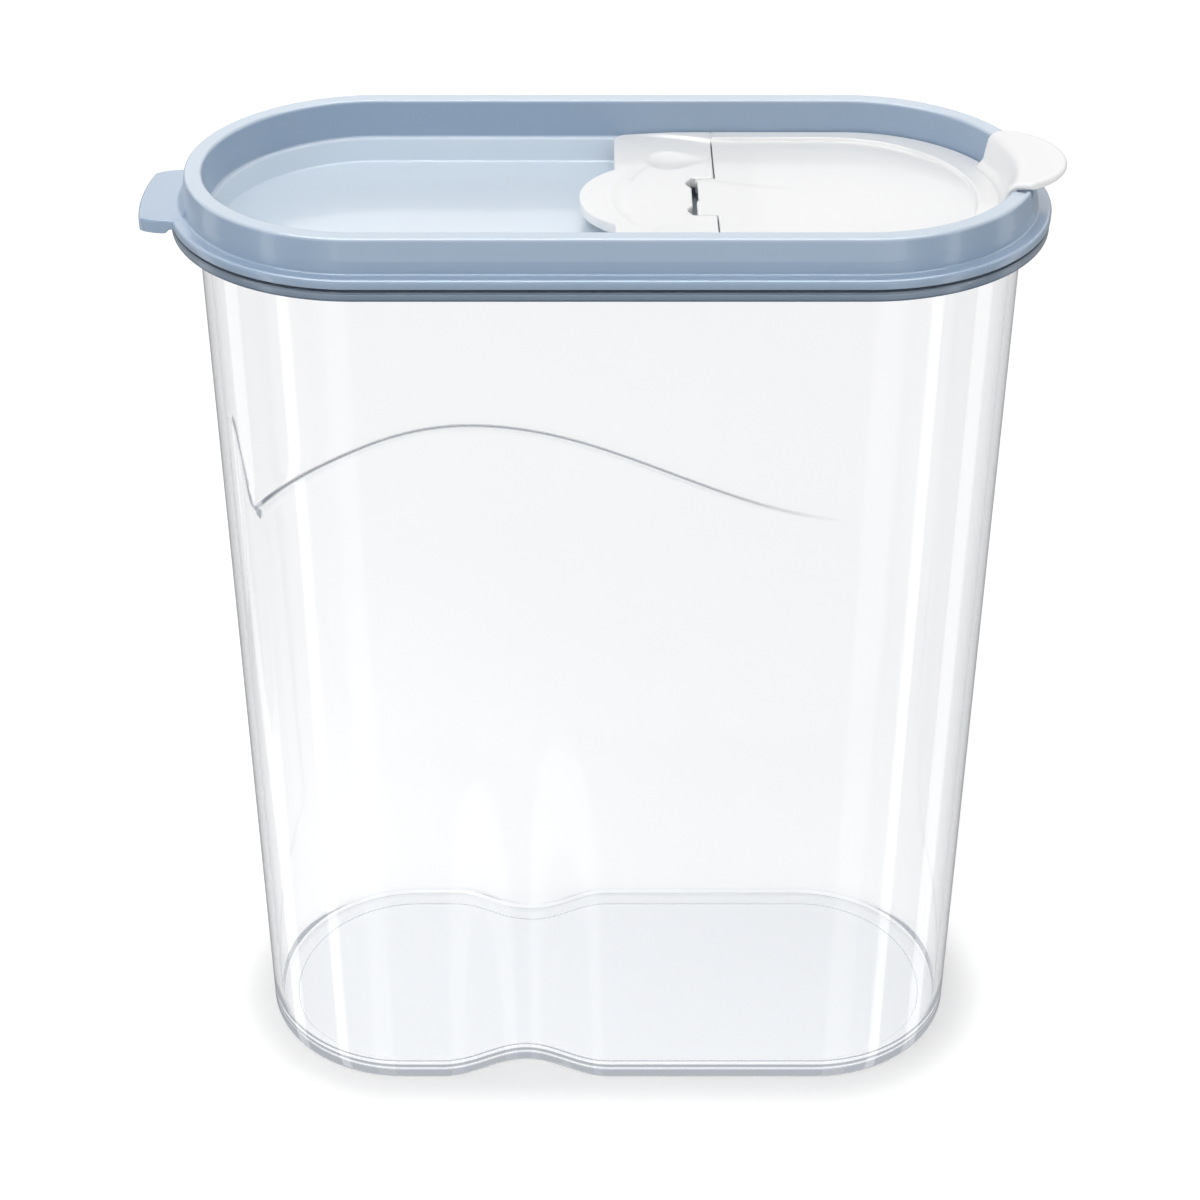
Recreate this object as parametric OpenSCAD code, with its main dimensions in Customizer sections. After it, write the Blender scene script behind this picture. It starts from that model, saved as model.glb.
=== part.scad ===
// Dry-food container with a press-on lid and a flip-up pouring flap.
// Origin at the middle of the base, +Z up, long side along X: pull tab at -X, pouring flap at +X.
// Every horizontal section is a stadium: two round ends joined by a straight run.

/* [Container] */
// Straight run between the centres of the two round ends
straight_l = 116; // [100:1:132]
// Outer radius of the round ends at the foot of the wall
base_r = 40.6; // [38:0.1:41.5]
// Outer radius of the round ends just under the rim
top_r = 40.9; // [38:0.1:43]
// Wall thickness
wall = 2; // [1.6:0.1:2.6]
// Floor thickness
floor_t = 2.4; // [1.6:0.1:4]
// Radius between the inside wall and the floor
floor_fillet = 4; // [2:0.5:8]
// Radius round the foot of the outside wall
foot_r = 1.5; // [0.8:0.1:3]
// Height of the top face of the out-turned rim
body_h = 248.8; // [200:1:280]
// Thickness of the out-turned rim
rim_t = 2.4; // [1.8:0.1:3.5]
// How far the rim stands out from the wall
rim_out = 6.3; // [5:0.1:8]
// Height of the thin lip that stands on the rim
lip_h = 5.7; // [4:0.1:6.5]
// Thickness of that lip
lip_t = 1.3; // [1:0.1:1.6]
// How far the lip's outside face stands out from the wall
lip_out = 0.65; // [0.4:0.05:1]

/* [Grip] */
// Depth of the waist in the long walls at the base
waist_d = 7; // [0:0.5:10]
// Place of the waist along X
waist_x = -23.5; // [-30:0.5:30]
// Half of the waist's length
waist_half = 23.5; // [16:0.5:26]
// Height at which the waist has run out into the plain wall
waist_top = 172; // [100:1:180]
// Depth of the step along the wavy crease
crease_d = 1.1; // [0.4:0.1:1.6]
// Width of the slope of that step
crease_w = 2.5; // [1.5:0.1:5]
// Distance of the top of the wave below the rim's top face
crease_drop = 36.8; // [30:0.5:60]
// Fall of the wave to the right
crease_fall = 26; // [10:1:40]
// Fall of the wave to its low point at the left
crease_dip = 31.4; // [10:0.5:44]
// Rise of the wave's last short arm on the left end
crease_arm = 24; // [0:1:30]

/* [Lid] */
// Clearance between the container's lip and the lid
fit = 0.3; // [0.2:0.05:0.5]
// Skin of the lid's hollow rim
skin = 1.15; // [0.9:0.05:1.5]
// Height of the rim's crown over the container's rim
crown_h = 11.2; // [9.5:0.1:14]
// Draft of the rim's outside face over its height
crown_draft = 0.9; // [0.2:0.1:1.4]
// Rounding of the crown's two edges
crown_round = 0.7; // [0.3:0.1:0.9]
// Thickness of the lid's flange
flange_t = 1.6; // [1.2:0.1:2]
// Gap between the flange and the container's rim
flange_gap = 1.3; // [0.6:0.1:1.6]
// Depth of the ledge below the crown
ledge_depth = 9.4; // [8:0.1:11]
// Width of the ledge
ledge_w = 1.5; // [1:0.1:2]
// Depth of the panel below the ledge
well_depth = 5.8; // [5:0.1:8]
// Thickness of the panel
panel_t = 1.4; // [1:0.1:2]
// Width of the pull tab
tab_w = 32.6; // [20:0.2:40]
// Reach of the pull tab past the flange
tab_reach = 7.2; // [5:0.1:12]
// Thickness of the pull tab
tab_t = 2.3; // [1.6:0.1:3]

/* [Spout] */
// Place of the seam between the hinge plate and the flap along X
seam_x = 25.35; // [20:0.05:32]
// Gap at the seam
seam_gap = 0.3; // [0.2:0.05:0.6]
// Clearance of the plate and the flap inside the lid's recess
side_gap = 0.35; // [0.2:0.05:0.6]
// Thickness of the white border where it lies over the ledge
border_t = 1.4; // [1.1:0.1:2]
// Width of the border round the flap
border_w = 4.8; // [3:0.1:7]
// Drop from the border to the middle of the flap and the plate
border_step = 0.7; // [0.3:0.1:0.8]
// Thickness of the middle of the flap
flap_t = 1.4; // [1:0.1:1.8]
// Length of the hinge plate to the left of the seam
plate_l = 24.2; // [20:0.1:30]
// Thickness of the middle of the hinge plate
plate_t = 2.5; // [2:0.1:3]
// Reach of the plate's finger lobe past its left edge
lobe_reach = 8.5; // [5:0.1:11]
// Width of the finger lobe
lobe_w = 32; // [24:0.5:40]
// Width of the two finger dimples in the plate
dimple_w = 11.2; // [7:0.2:12]
// Depth of those dimples
dimple_d = 0.9; // [0.4:0.1:1.2]
// Distance of the dimples from the middle of the plate
dimple_y = 21.5; // [17:0.5:24]
// Depth of the crescent groove beside the finger lobe
groove_d = 0.45; // [0.2:0.05:0.8]
// Width of the flap's tongue between the hinge ears
tongue_w = 21; // [14:0.5:28]
// Play at each side of the tongue
tongue_gap = 0.3; // [0.2:0.05:0.6]
// Radius of the hinge pins
pin_r = 0.8; // [0.6:0.05:0.9]
// Radial clearance of the pins in their bores
pin_play = 0.05; // [0.02:0.01:0.1]
// Length of each hinge pin
pin_l = 2.6; // [1.5:0.1:4]
// Distance of the hinge axis from the flap's edge
axis_back = 2.8; // [2.6:0.1:3.2]
// Depth of the hinge axis below the middle of the plate
axis_drop = 1.5; // [1.4:0.05:1.7]
// Radius of the round end of the pouring hole
pour_r = 31; // [26:0.5:32]
// Distance from the seam to the pouring hole
pour_start = 8.6; // [7:0.1:14]
// Height of the collar round the pouring hole
collar_h = 2.4; // [1:0.1:3.2]
// Wall of the collar and of the flap's plug
collar_t = 1.3; // [1:0.1:1.8]
// Width of the notch in the rim for the thumb tab
notch_w = 33; // [24:0.5:40]
// Width of the thumb tab
thumb_w = 32.4; // [22:0.2:38]
// Thickness of the thumb tab
thumb_t = 1.8; // [1.4:0.1:2.2]
// Rounding of the thumb tab's edges
thumb_round = 0.7; // [0.3:0.1:0.8]
// Height of the thumb tab's top over the crown
thumb_rise = 1.5; // [1:0.1:3]
// Reach of the thumb tab past the crown
thumb_reach = 7.2; // [5:0.1:10]

/* [Hidden] */
$fn = 96;
half = straight_l / 2;

// Container heights and radii
rim_under = body_h - rim_t;
rim_r = top_r + rim_out;
lip_r = top_r + lip_out;
lip_in = lip_r - lip_t;
lip_top = body_h + lip_h;
edge = 0.4;
taper_h = 3;
neck_z = rim_under - 2;

// Number of columns along a straight run and round an end, and of rows below and above the crease
run_n = 16;
end_n = 20;
low_n = 5;
high_n = 2;

// Lid heights and radii
crown_z = body_h + crown_h;
crown_r = lip_r + fit + skin;
inner_r = lip_in - fit - skin;
flange_z = body_h + flange_gap;
flange_top = flange_z + flange_t;
flange_r = rim_r - 0.2;
ledge_z = crown_z - ledge_depth;
wall_draft = 0.45;
recess_r = inner_r - wall_draft;
well_r = recess_r - ledge_w;
panel_z = ledge_z - well_depth;
well_foot_r = well_r - 0.6;
channel_z = lip_top + fit;
notch_z = channel_z + 1.2;
core_z = crown_z - 1.3;
core_step = 0.3;

// Spout heights and outlines
border_top = ledge_z + border_t;
face_z = border_top - border_step;
flap_r = recess_r - side_gap;
flap_x = seam_x + seam_gap / 2;
plate_x = seam_x - seam_gap / 2;
plate_left = plate_x - plate_l;
flap_under = face_z - flap_t;
inside_r = well_r - 0.4;
axis_x = flap_x - axis_back;
axis_z = face_z - axis_drop;
pocket_x = axis_x - axis_back - 0.3;
ridge_r = flap_r - border_w;
ridge_c = half - 4;
pour_x = seam_x + pour_start;
pour_c = ridge_c;
plug_gap = 0.35;
plug_r = pour_r - plug_gap;
thumb_top = crown_z + thumb_rise;
ear_drop = 1.5;
slot_half = tongue_w / 2 + tongue_gap;
hook_x = [plate_left + 5, plate_x - 5.2];
hook_y = 28;
hook_w = 6;
hook_t = 1.8;
hook_gap = 0.3;
barb = 0.8;
ear_l = 4.2;
barrel_r = axis_back - 0.9;

// Points of an arc from angle a to angle b in n steps
function arc(x, y, r, a, b, n) =
    [for (i = [0:n]) let (turn = a + (b - a) * i / n) [x + r * cos(turn), y + r * sin(turn)]];

// Runs smoothly from 0 to 1 as t goes from 0 to 1
function ease(t) = let (u = min(max(t, 0), 1)) u * u * (3 - 2 * u);

// ---------------------------------------------------------------- container skin

// Each column is [x of its centre, x of its normal, y of its normal, way round the wall], and the way
// starts at the front's middle
columns = concat(
    [for (i = [0:run_n - 1]) let (x = -half + straight_l * i / run_n) [x, 0, -1, x]],
    [for (i = [0:end_n - 1]) let (a = 180 * i / end_n) [half, sin(a), -cos(a), half + top_r * a * PI / 180]],
    [for (i = [0:run_n - 1]) let (x = half - straight_l * i / run_n) [x, 0, 1, half + top_r * PI + half - x]],
    [for (i = [0:end_n - 1]) let (a = 180 * (1 - i / end_n))
        [-half, -sin(a), -cos(a), -half - top_r * a * PI / 180]]
);
col_n = len(columns);

// The wave: a cosine to the right of its top, a parabola to its left, then a short arm that rises again
peak_z = body_h - crease_drop;
peak_s = -33;
dip_s = -92;
arm_s = 7;
wave_l = 95;
back_fade = 60;
right_s = 62;
right_fade = 44;
left_fade = 8;
step_fade = 120;
function crease_z(s) =
    s >= peak_s ? peak_z - crease_fall / 2 * (1 - cos(180 * min((s - peak_s) / wave_l, 1))) :
    s >= dip_s ? peak_z - crease_dip * pow((peak_s - s) / (peak_s - dip_s), 2) :
    s >= dip_s - arm_s ? peak_z - crease_dip + crease_arm * ease((dip_s - s) / arm_s) :
    peak_z - crease_dip + crease_arm
        + (crease_dip - crease_arm - crease_fall) * ease((dip_s - arm_s - s) / back_fade);

// The step fades out at both ends of the wave
function crease_depth(s) =
    crease_d * ease((right_s - s) / right_fade) * ease((s - dip_s + 2 * arm_s) / left_fade);

// The waist swells towards the base, and the step runs out down the wall
function waist(c, z) = c[1] != 0 || abs(c[0] - waist_x) >= waist_half ? 0 :
    waist_d * pow(cos(90 * (c[0] - waist_x) / waist_half), 2) * ease(1 - z / waist_top);
function step_in(c, z) = z >= crease_z(c[3]) - crease_w / 2 ? 0 :
    crease_depth(c[3]) * ease(1 - (crease_z(c[3]) - crease_w - z) / step_fade);

function wall_r(z) = base_r + (top_r - base_r) * z / body_h;
function place(c, r, z) = [c[0] + c[1] * r, c[2] * r, z];
function on_wall(c, z, depth) = place(c, wall_r(z) - depth - waist(c, z) - step_in(c, z), z);

// Heights of the wall's rows at one column: up to the crease, its two edges, and on to the neck
function wall_rows(c, from) = let (k = crease_z(c[3])) concat(
    [for (i = [0:low_n]) from + (k - crease_w - from) * i / low_n],
    [for (i = [0:high_n]) k + (neck_z - k) * i / high_n]
);
low_z = floor_t + floor_fillet;

// Outside from the foot to the lip, then down the inside to the floor
function column(c) = concat(
    [for (p = arc(-foot_r, foot_r, foot_r, -90, 0, 2)) on_wall(c, p[1], -p[0])],
    [for (i = [1:low_n + high_n + 1]) on_wall(c, wall_rows(c, foot_r)[i], 0)],
    [for (p = arc(top_r + 1, rim_under - 1, 1, 180, 90, 1)) place(c, p[0], p[1])],
    [for (p = concat(arc(rim_r - edge, rim_under + edge, edge, -90, 0, 1),
                     arc(rim_r - edge, body_h - edge, edge, 0, 90, 1),
                     [[lip_r + edge, body_h], [lip_r, body_h + edge]],
                     arc(lip_r - edge, lip_top - edge, edge, 0, 90, 1),
                     arc(lip_in + edge, lip_top - edge, edge, 90, 180, 1),
                     [[lip_in, body_h + 0.7]])) place(c, p[0], p[1])],
    [place(c, top_r - wall, body_h + 0.7 - taper_h)],
    [for (i = [low_n + high_n + 1:-1:1]) on_wall(c, wall_rows(c, low_z)[i], wall)],
    [for (p = arc(-wall - floor_fillet, low_z, floor_fillet, 0, -90, 3)) on_wall(c, p[1], -p[0])]
);
skin_columns = [for (c = columns) column(c)];
row_n = len(skin_columns[0]);

module container() {
    points = [for (r = [0:row_n - 1]) for (i = [0:col_n - 1]) skin_columns[i][r]];
    sides = [for (r = [0:row_n - 2]) for (i = [0:col_n - 1])
        let (a = r * col_n + i, b = r * col_n + (i + 1) % col_n)
        each [[a, a + col_n, b], [b, a + col_n, b + col_n]]];
    // foot and floor are strips between each front column and the back column that mirrors it
    strip = [for (k = [0:run_n + end_n - 1]) [for (d = [0, 1])
        [(run_n + end_n / 2 - k - d + col_n) % col_n, (run_n + end_n / 2 + k + d) % col_n]]];
    foot = [for (q = strip) each concat(
        q[0][0] == q[0][1] ? [] : [[q[0][0], q[0][1], q[1][1]]],
        q[1][0] == q[1][1] ? [] : [[q[0][0], q[1][1], q[1][0]]])];
    top = (row_n - 1) * col_n;
    floor_face = [for (f = foot) [f[2] + top, f[1] + top, f[0] + top]];
    color([0.86, 0.9, 0.93, 0.35])
        polyhedron(points, concat(sides, foot, floor_face), convexity = 6);
}

// ---------------------------------------------------------------- shared outlines

module stadium(r, c = half) {
    square([2 * c, 2 * r], center = true);
    for (x = [-c, c]) translate([x, 0]) circle(r);
}

// Carries a section, drawn as [radius, height], once round the stadium
module around(c = half) {
    for (side = [0, 1]) mirror([0, side, 0])
        translate([-c, 0, 0]) rotate([90, 0, 90]) linear_extrude(2 * c) children();
    for (turn = [0, 180]) rotate([0, 0, turn])
        translate([c, 0, 0]) rotate([0, 0, -90]) rotate_extrude(angle = 180) children();
}

// A slab of the stadium that starts at x = from
module d_slab(r, c, from, z, t) {
    translate([0, 0, z]) linear_extrude(t) intersection() {
        stadium(r, c);
        translate([from, -2 * r]) square([4 * r, 4 * r]);
    }
}

// The pouring hole's outline: a round end at +X and two small corners at the seam side
module pour_outline(r, from) {
    corner = 7;
    intersection() {
        stadium(r, pour_c);
        union() {
            translate([from + corner, -2 * r]) square([4 * r, 4 * r]);
            translate([from, corner - r]) square([corner + 1, 2 * (r - corner)]);
            for (y = [-1, 1]) translate([from + corner, y * (r - corner)]) circle(corner);
        }
    }
}

// ---------------------------------------------------------------- lid

// The hollow rim, its flange outside, and the ledge and the well inside
module lid_section() {
    polygon(concat(
        [[lip_r + fit, flange_z], [flange_r - edge, flange_z]],
        arc(flange_r - edge, flange_z + edge, edge, -90, 0, 2),
        arc(flange_r - 0.6, flange_top - 0.6, 0.6, 0, 90, 3),
        arc(crown_r + crown_draft + 0.5, flange_top + 0.5, 0.5, 270, 180, 3),
        arc(crown_r - crown_round, crown_z - crown_round, crown_round, 0, 90, 4),
        arc(inner_r + crown_round, crown_z - crown_round, crown_round, 90, 180, 4),
        arc(recess_r - edge, ledge_z + edge, edge, 0, -90, 2),
        [[well_r + 0.3, ledge_z], [well_r, ledge_z - 0.3]],
        arc(well_foot_r - 0.5, panel_z + 0.5, 0.5, 0, -90, 2),
        [[well_foot_r - 4, panel_z], [well_foot_r - 4, panel_z - panel_t]],
        arc(well_foot_r + 0.4, panel_z - panel_t + 1, 1, -90, 0, 3),
        [[top_r - wall - 0.5, body_h + 0.4 - taper_h], [lip_in - fit, body_h + 0.4]],
        [[lip_in - fit, channel_z], [lip_r + fit, channel_z]]
    ));
}

// The hollow over the channel, left solid beside the notch
module crown_core() {
    w = [lip_in - fit + core_step, lip_r + fit - core_step];
    near = 32;
    module section() polygon([[w[0], channel_z - 1], [w[1], channel_z - 1], [w[1], core_z], [w[0], core_z]]);
    for (side = [0, 1]) mirror([0, side, 0]) {
        translate([-half, 0, 0]) rotate([90, 0, 90]) linear_extrude(2 * half) section();
        translate([half, 0, 0]) rotate([0, 0, near]) rotate_extrude(angle = 90 - near) section();
    }
    translate([-half, 0, 0]) rotate([0, 0, 90]) rotate_extrude(angle = 180) section();
}

// The notch's outline seen along X, with rounded lower corners
module notch_section(w, low, high) {
    corner = 1.5;
    polygon(concat(
        arc(w / 2 - corner, low + corner, corner, -90, 0, 4),
        [[w / 2, high], [-w / 2, high]],
        arc(-w / 2 + corner, low + corner, corner, 180, 270, 4)
    ));
}

module pull_tab() {
    root = half + flange_r - 3;
    tip = half + flange_r + tab_reach;
    corner = 5;
    bow = 70;
    translate([0, 0, flange_top - tab_t]) linear_extrude(tab_t) mirror([1, 0]) intersection() {
        union() {
            translate([root, -tab_w / 2]) square([tip - corner - root, tab_w]);
            translate([root, corner - tab_w / 2]) square([tip - root, tab_w - 2 * corner]);
            for (y = [-1, 1]) translate([tip - corner, y * (tab_w / 2 - corner)]) circle(corner);
        }
        translate([tip - bow, 0]) circle(bow);
    }
}

module lid() {
    color([0.68, 0.76, 0.84]) {
        difference() {
            union() {
                around() lid_section();
                translate([0, 0, panel_z - panel_t]) linear_extrude(panel_t) stadium(well_foot_r - 3);
                translate([0, 0, panel_z - 0.1]) linear_extrude(collar_h + 0.1)
                    pour_outline(pour_r + collar_t, pour_x - collar_t);
                difference() {
                    pull_tab();
                    translate([0, 0, flange_z - tab_t]) linear_extrude(2 * tab_t) stadium(flange_r - 1);
                }
            }
            crown_core();
            translate([0, 0, panel_z - 2 * panel_t]) linear_extrude(collar_h + 3 * panel_t)
                pour_outline(pour_r, pour_x);
            translate([half + recess_r * 0.6, 0, 0]) rotate([90, 0, 90]) linear_extrude(recess_r)
                notch_section(notch_w, notch_z, crown_z + 1);
            for (x = hook_x, y = [-1, 1])
                translate([x, y * (hook_y + barb / 2), panel_z - panel_t / 2])
                    cube([hook_w + 2 * hook_gap, hook_t + barb + 2 * hook_gap, 3 * panel_t], center = true);
        }
    }
}

// ---------------------------------------------------------------- hinge plate

// A hook that snaps through the panel: a leg with a barb on its outer face
module hook() {
    foot_z = panel_z - panel_t - 1.8;
    rotate([90, 0, 90]) translate([0, 0, -hook_w / 2]) linear_extrude(hook_w) polygon([
        [-hook_t / 2, face_z - 1], [-hook_t / 2, foot_z], [hook_t / 2, foot_z],
        [hook_t / 2 + barb, panel_z - panel_t - 0.6], [hook_t / 2 + barb, panel_z - panel_t - 0.1],
        [hook_t / 2, panel_z - panel_t - 0.1], [hook_t / 2, face_z - 1]
    ]);
}

// The plate's outline: straight sides, rounded left corners and the finger lobe
module plate_outline(half_w, grow) {
    corner = 3.5;
    left = plate_left - grow;
    reach = lobe_reach + grow;
    bulge = (pow(lobe_w / 2, 2) + pow(lobe_reach, 2)) / (2 * lobe_reach);
    nook = 3;
    nook_d = 1.2;
    difference() {
        union() {
            translate([left + corner, -half_w]) square([plate_x - left - corner, 2 * half_w]);
            translate([left, corner - half_w]) square([corner + 1, 2 * (half_w - corner)]);
            for (y = [-1, 1]) translate([left + corner, y * (half_w - corner)]) circle(corner);
            translate([plate_left - lobe_reach + bulge, 0]) circle(bulge + grow);
        }
        translate([plate_x, -bulge * 2]) square(bulge * 4);
        translate([pocket_x, -slot_half]) square([plate_l, 2 * slot_half]);
        // a rounded nook at each end of the slot
        for (y = [-1, 1]) translate([pocket_x + nook - nook_d, y * (slot_half - nook)]) circle(nook);
    }
}

// A shallow finger dimple: a bowl cut by a large ball, and the cone that touches the ball and
// runs to a tip at the seam
module dimple() {
    ball = (pow(dimple_w / 2, 2) + pow(dimple_d, 2)) / (2 * dimple_d);
    tip = [plate_x - 0.8, face_z + 0.05];
    run = 9.9;
    rise = face_z + ball - dimple_d - tip[1];
    far = norm([run, rise]);
    near = (far * far - ball * ball) / far;
    translate([tip[0] - run, 0, tip[1] + rise]) sphere(r = ball, $fn = 160);
    translate([tip[0], 0, tip[1]]) rotate([0, -atan2(run, rise), 0])
        cylinder(h = near, r1 = 0, r2 = near * ball / sqrt(far * far - ball * ball));
}

// A crescent groove beside the lobe: a ring that dips into the plate at its middle
module groove() {
    bend = 28;
    soft = 4;
    edge_gap = 1.1;
    spread = 45;
    dip = atan2(groove_d, bend * (1 - cos(spread)));
    translate([plate_left + edge_gap + bend, 0, face_z]) rotate([0, -dip, 0])
        translate([0, 0, bend * sin(dip) - groove_d])
        rotate([0, 0, 180 - spread]) rotate_extrude(angle = 2 * spread) translate([bend, soft]) circle(soft);
}

module hinge_plate() {
    ear_z = face_z - plate_t - ear_drop;
    skirt_t = 1.4;
    color([0.95, 0.95, 0.95]) difference() {
        union() {
            translate([0, 0, ledge_z]) linear_extrude(face_z - ledge_z) plate_outline(flap_r, 0);
            translate([0, 0, face_z - plate_t]) linear_extrude(plate_t) plate_outline(inside_r, 0);
            // raised border that narrows to nothing towards the left
            for (side = [0, 1]) mirror([0, side, 0]) translate([0, 0, face_z - 0.2])
                linear_extrude(border_step + 0.2)
                polygon([[plate_left + 6, flap_r], [plate_left + 14, flap_r - 1.2],
                    [plate_x - 0.8, flap_r - border_w - 1.2], [plate_x - 0.8, flap_r]]);
            // ears that hold the hinge pins
            for (y = [-1, 1])
                translate([axis_x - barrel_r, y * (slot_half + ear_l / 2) - ear_l / 2, ear_z])
                cube([plate_x - axis_x + barrel_r, ear_l, plate_t]);
            for (x = hook_x, y = [0, 1]) mirror([0, y, 0]) translate([x, hook_y, 0]) hook();
            // skirt that stands on the panel behind the left edge
            translate([plate_left + 2, -hook_y + hook_w, panel_z])
                cube([skirt_t, 2 * (hook_y - hook_w), face_z - 1 - panel_z]);
        }
        // bores for the pins
        translate([axis_x, 0, axis_z]) rotate([90, 0, 0])
            cylinder(h = 2 * (slot_half + pin_l + tongue_gap), r = pin_r + pin_play, center = true);
        for (y = [-dimple_y, dimple_y]) translate([0, y, 0]) dimple();
        groove();
    }
}

// ---------------------------------------------------------------- flap

// The riser and the thumb tab, drawn as [radius, height] about the centre of the right end
module thumb_section() {
    over = recess_r + 0.6;
    polygon(concat(
        [[inside_r - 3.6, flap_under], [inside_r - 3.6, face_z - 0.3]],
        arc(inside_r - 2, face_z + 1.4, 1.4, 270, 350, 4),
        arc(recess_r + 1.4, thumb_top - 1.6, 1.6, 170, 90, 4),
        [[crown_r + thumb_reach + 6, thumb_top], [crown_r + thumb_reach + 6, thumb_top - thumb_t]],
        [[over + 1.2, thumb_top - thumb_t], [over, thumb_top - thumb_t - 1]],
        [[over - 0.1, notch_z + 1.3], [recess_r - side_gap, notch_z - 0.2]],
        [[flap_r, ledge_z + 0.2], [inside_r, ledge_z + 0.2], [inside_r, flap_under]]
    ));
}

// Half of the tab seen from its end, out to half-width w, with a rounded top edge
module thumb_edge(w) {
    r = thumb_round;
    polygon(concat([[0, ledge_z], [w, ledge_z]], arc(w - r, thumb_top - r, r, 0, 90, 4), [[0, thumb_top]]));
}

// The riser and the tab: the section turned about the end's centre, cut to straight sides and a round tip
module thumb_tab() {
    spread = 34;
    reach = crown_r + thumb_reach;
    bow = 17.7;
    intersection() {
        translate([half, 0, 0]) rotate([0, 0, -spread]) rotate_extrude(angle = 2 * spread) thumb_section();
        for (side = [0, 1]) mirror([0, side, 0]) translate([half, 0, 0]) rotate([90, 0, 90])
            linear_extrude(reach) thumb_edge(thumb_w / 2);
        union() {
            translate([half, -thumb_w, 0]) cube([reach - bow, 2 * thumb_w, 2 * thumb_top]);
            translate([half + reach - bow, 0, 0]) rotate_extrude() thumb_edge(bow);
        }
    }
}

module flap() {
    slope = 2 * border_step;
    rear = 2.1;
    color([0.96, 0.96, 0.96]) {
        difference() {
            union() {
                // border over the ledge
                difference() {
                    d_slab(flap_r, half, flap_x, ledge_z + 0.2, border_top - ledge_z - 0.2);
                    around(ridge_c) polygon([[0, face_z], [ridge_r, face_z],
                        [ridge_r + slope, face_z + slope], [0, face_z + slope]]);
                }
                // middle
                d_slab(inside_r, half, flap_x, flap_under, flap_t);
                // tongue
                translate([axis_x - rear, -tongue_w / 2, flap_under])
                    cube([rear + axis_back + 2, tongue_w, flap_t]);
                translate([axis_x, 0, axis_z]) rotate([90, 0, 0])
                    cylinder(h = tongue_w, r = axis_drop, center = true);
                translate([axis_x, -tongue_w / 2, axis_z - axis_drop + 0.05])
                    cube([axis_back + 0.6, tongue_w, axis_drop]);
                thumb_tab();
            }
            // relief under the flap's edge, clear of the plate as it turns
            for (side = [0, 1]) mirror([0, side, 0]) translate([0, tongue_w / 2 + 0.01, 0])
                rotate([90, 0, 180]) mirror([1, 0, 0]) linear_extrude(flap_r)
                polygon([[flap_x - 1, flap_under - 1], [flap_x + 0.4, flap_under - 1],
                    [flap_x + 0.4, flap_under], [flap_x, face_z - 0.3], [flap_x - 1, face_z - 0.3]]);
        }
        // plug that closes the pouring hole
        translate([0, 0, panel_z - panel_t + 0.4]) linear_extrude(flap_under - panel_z + panel_t)
            difference() {
                pour_outline(plug_r, pour_x + plug_gap);
                pour_outline(plug_r - collar_t, pour_x + plug_gap + collar_t);
            }
        translate([axis_x, 0, axis_z]) rotate([90, 0, 0])
            cylinder(h = 2 * (slot_half + pin_l), r = pin_r, center = true);
    }
}

container();
lid();
hinge_plate();
flap();
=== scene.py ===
"""Looks of a clear dry-food container with a press-on lid and a flip-up pouring flap.

Every piece is a surface worked out on a grid: a section, drawn as radius and height, is carried
round a stadium, which is two round ends joined by straight runs. Each piece rides on an empty named
for its body. All sizes are in metres, +Z is up, the pull tab is at -X and the pouring flap at +X.
"""

from __future__ import annotations

import logging
import math
from dataclasses import dataclass, field
from enum import Enum

import bmesh
import bpy
import numpy as np
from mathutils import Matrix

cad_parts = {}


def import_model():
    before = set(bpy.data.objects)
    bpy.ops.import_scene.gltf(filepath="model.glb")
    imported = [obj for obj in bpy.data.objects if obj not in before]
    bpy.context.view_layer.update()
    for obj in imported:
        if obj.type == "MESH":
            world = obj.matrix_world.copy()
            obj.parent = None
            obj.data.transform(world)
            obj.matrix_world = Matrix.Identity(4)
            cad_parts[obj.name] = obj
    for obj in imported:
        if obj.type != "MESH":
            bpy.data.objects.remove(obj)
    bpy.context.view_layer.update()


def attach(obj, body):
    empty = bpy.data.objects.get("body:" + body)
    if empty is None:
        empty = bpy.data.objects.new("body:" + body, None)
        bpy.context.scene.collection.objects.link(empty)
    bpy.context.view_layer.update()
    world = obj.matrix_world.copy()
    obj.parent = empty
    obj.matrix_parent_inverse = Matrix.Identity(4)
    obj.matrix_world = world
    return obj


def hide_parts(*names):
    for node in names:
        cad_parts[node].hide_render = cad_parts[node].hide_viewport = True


log = logging.getLogger("container")

MM = 0.001
STEP_SHADE = "painted_step_shade"


class Body(Enum):
    """The bodies that pieces ride on."""

    CONTAINER = "container"
    LID = "lid"
    FLAP = "flap"


class Slot(Enum):
    """Names of the material slots."""

    CLEAR = "clear_plastic"
    LID = "lid_plastic"
    WHITE = "white_plastic"


# ------------------------------------------------------------------------------ curves and grids


def ease(t: np.ndarray) -> np.ndarray:
    """Run smoothly from 0 to 1 as t goes from 0 to 1."""
    u = np.clip(t, 0.0, 1.0)
    return u * u * (3.0 - 2.0 * u)


def soft_min(a: np.ndarray, b: np.ndarray, blend: float) -> np.ndarray:
    """Take the smaller of two values, rounded off where they cross.

    Args:
        a: First value.
        b: Second value.
        blend: Difference of the two below which the corner is rounded.

    Returns:
        min(a, b) less a parabola that is blend / 4 deep where a equals b.
    """
    h = np.maximum(blend - np.abs(a - b), 0.0) / blend
    return np.minimum(a, b) - h * h * blend / 4.0


def arc(x: float, z: float, r: float, start: float, end: float, steps: int) -> list[tuple[float, float]]:
    """Points of an arc, from one angle to another.

    Args:
        x: Centre across.
        z: Centre's height.
        r: Radius.
        start: First angle in degrees.
        end: Last angle in degrees.
        steps: Number of chords.

    Returns:
        steps + 1 points.
    """
    angles = np.radians(np.linspace(start, end, steps + 1))
    return [(x + r * math.cos(a), z + r * math.sin(a)) for a in angles]


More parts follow.
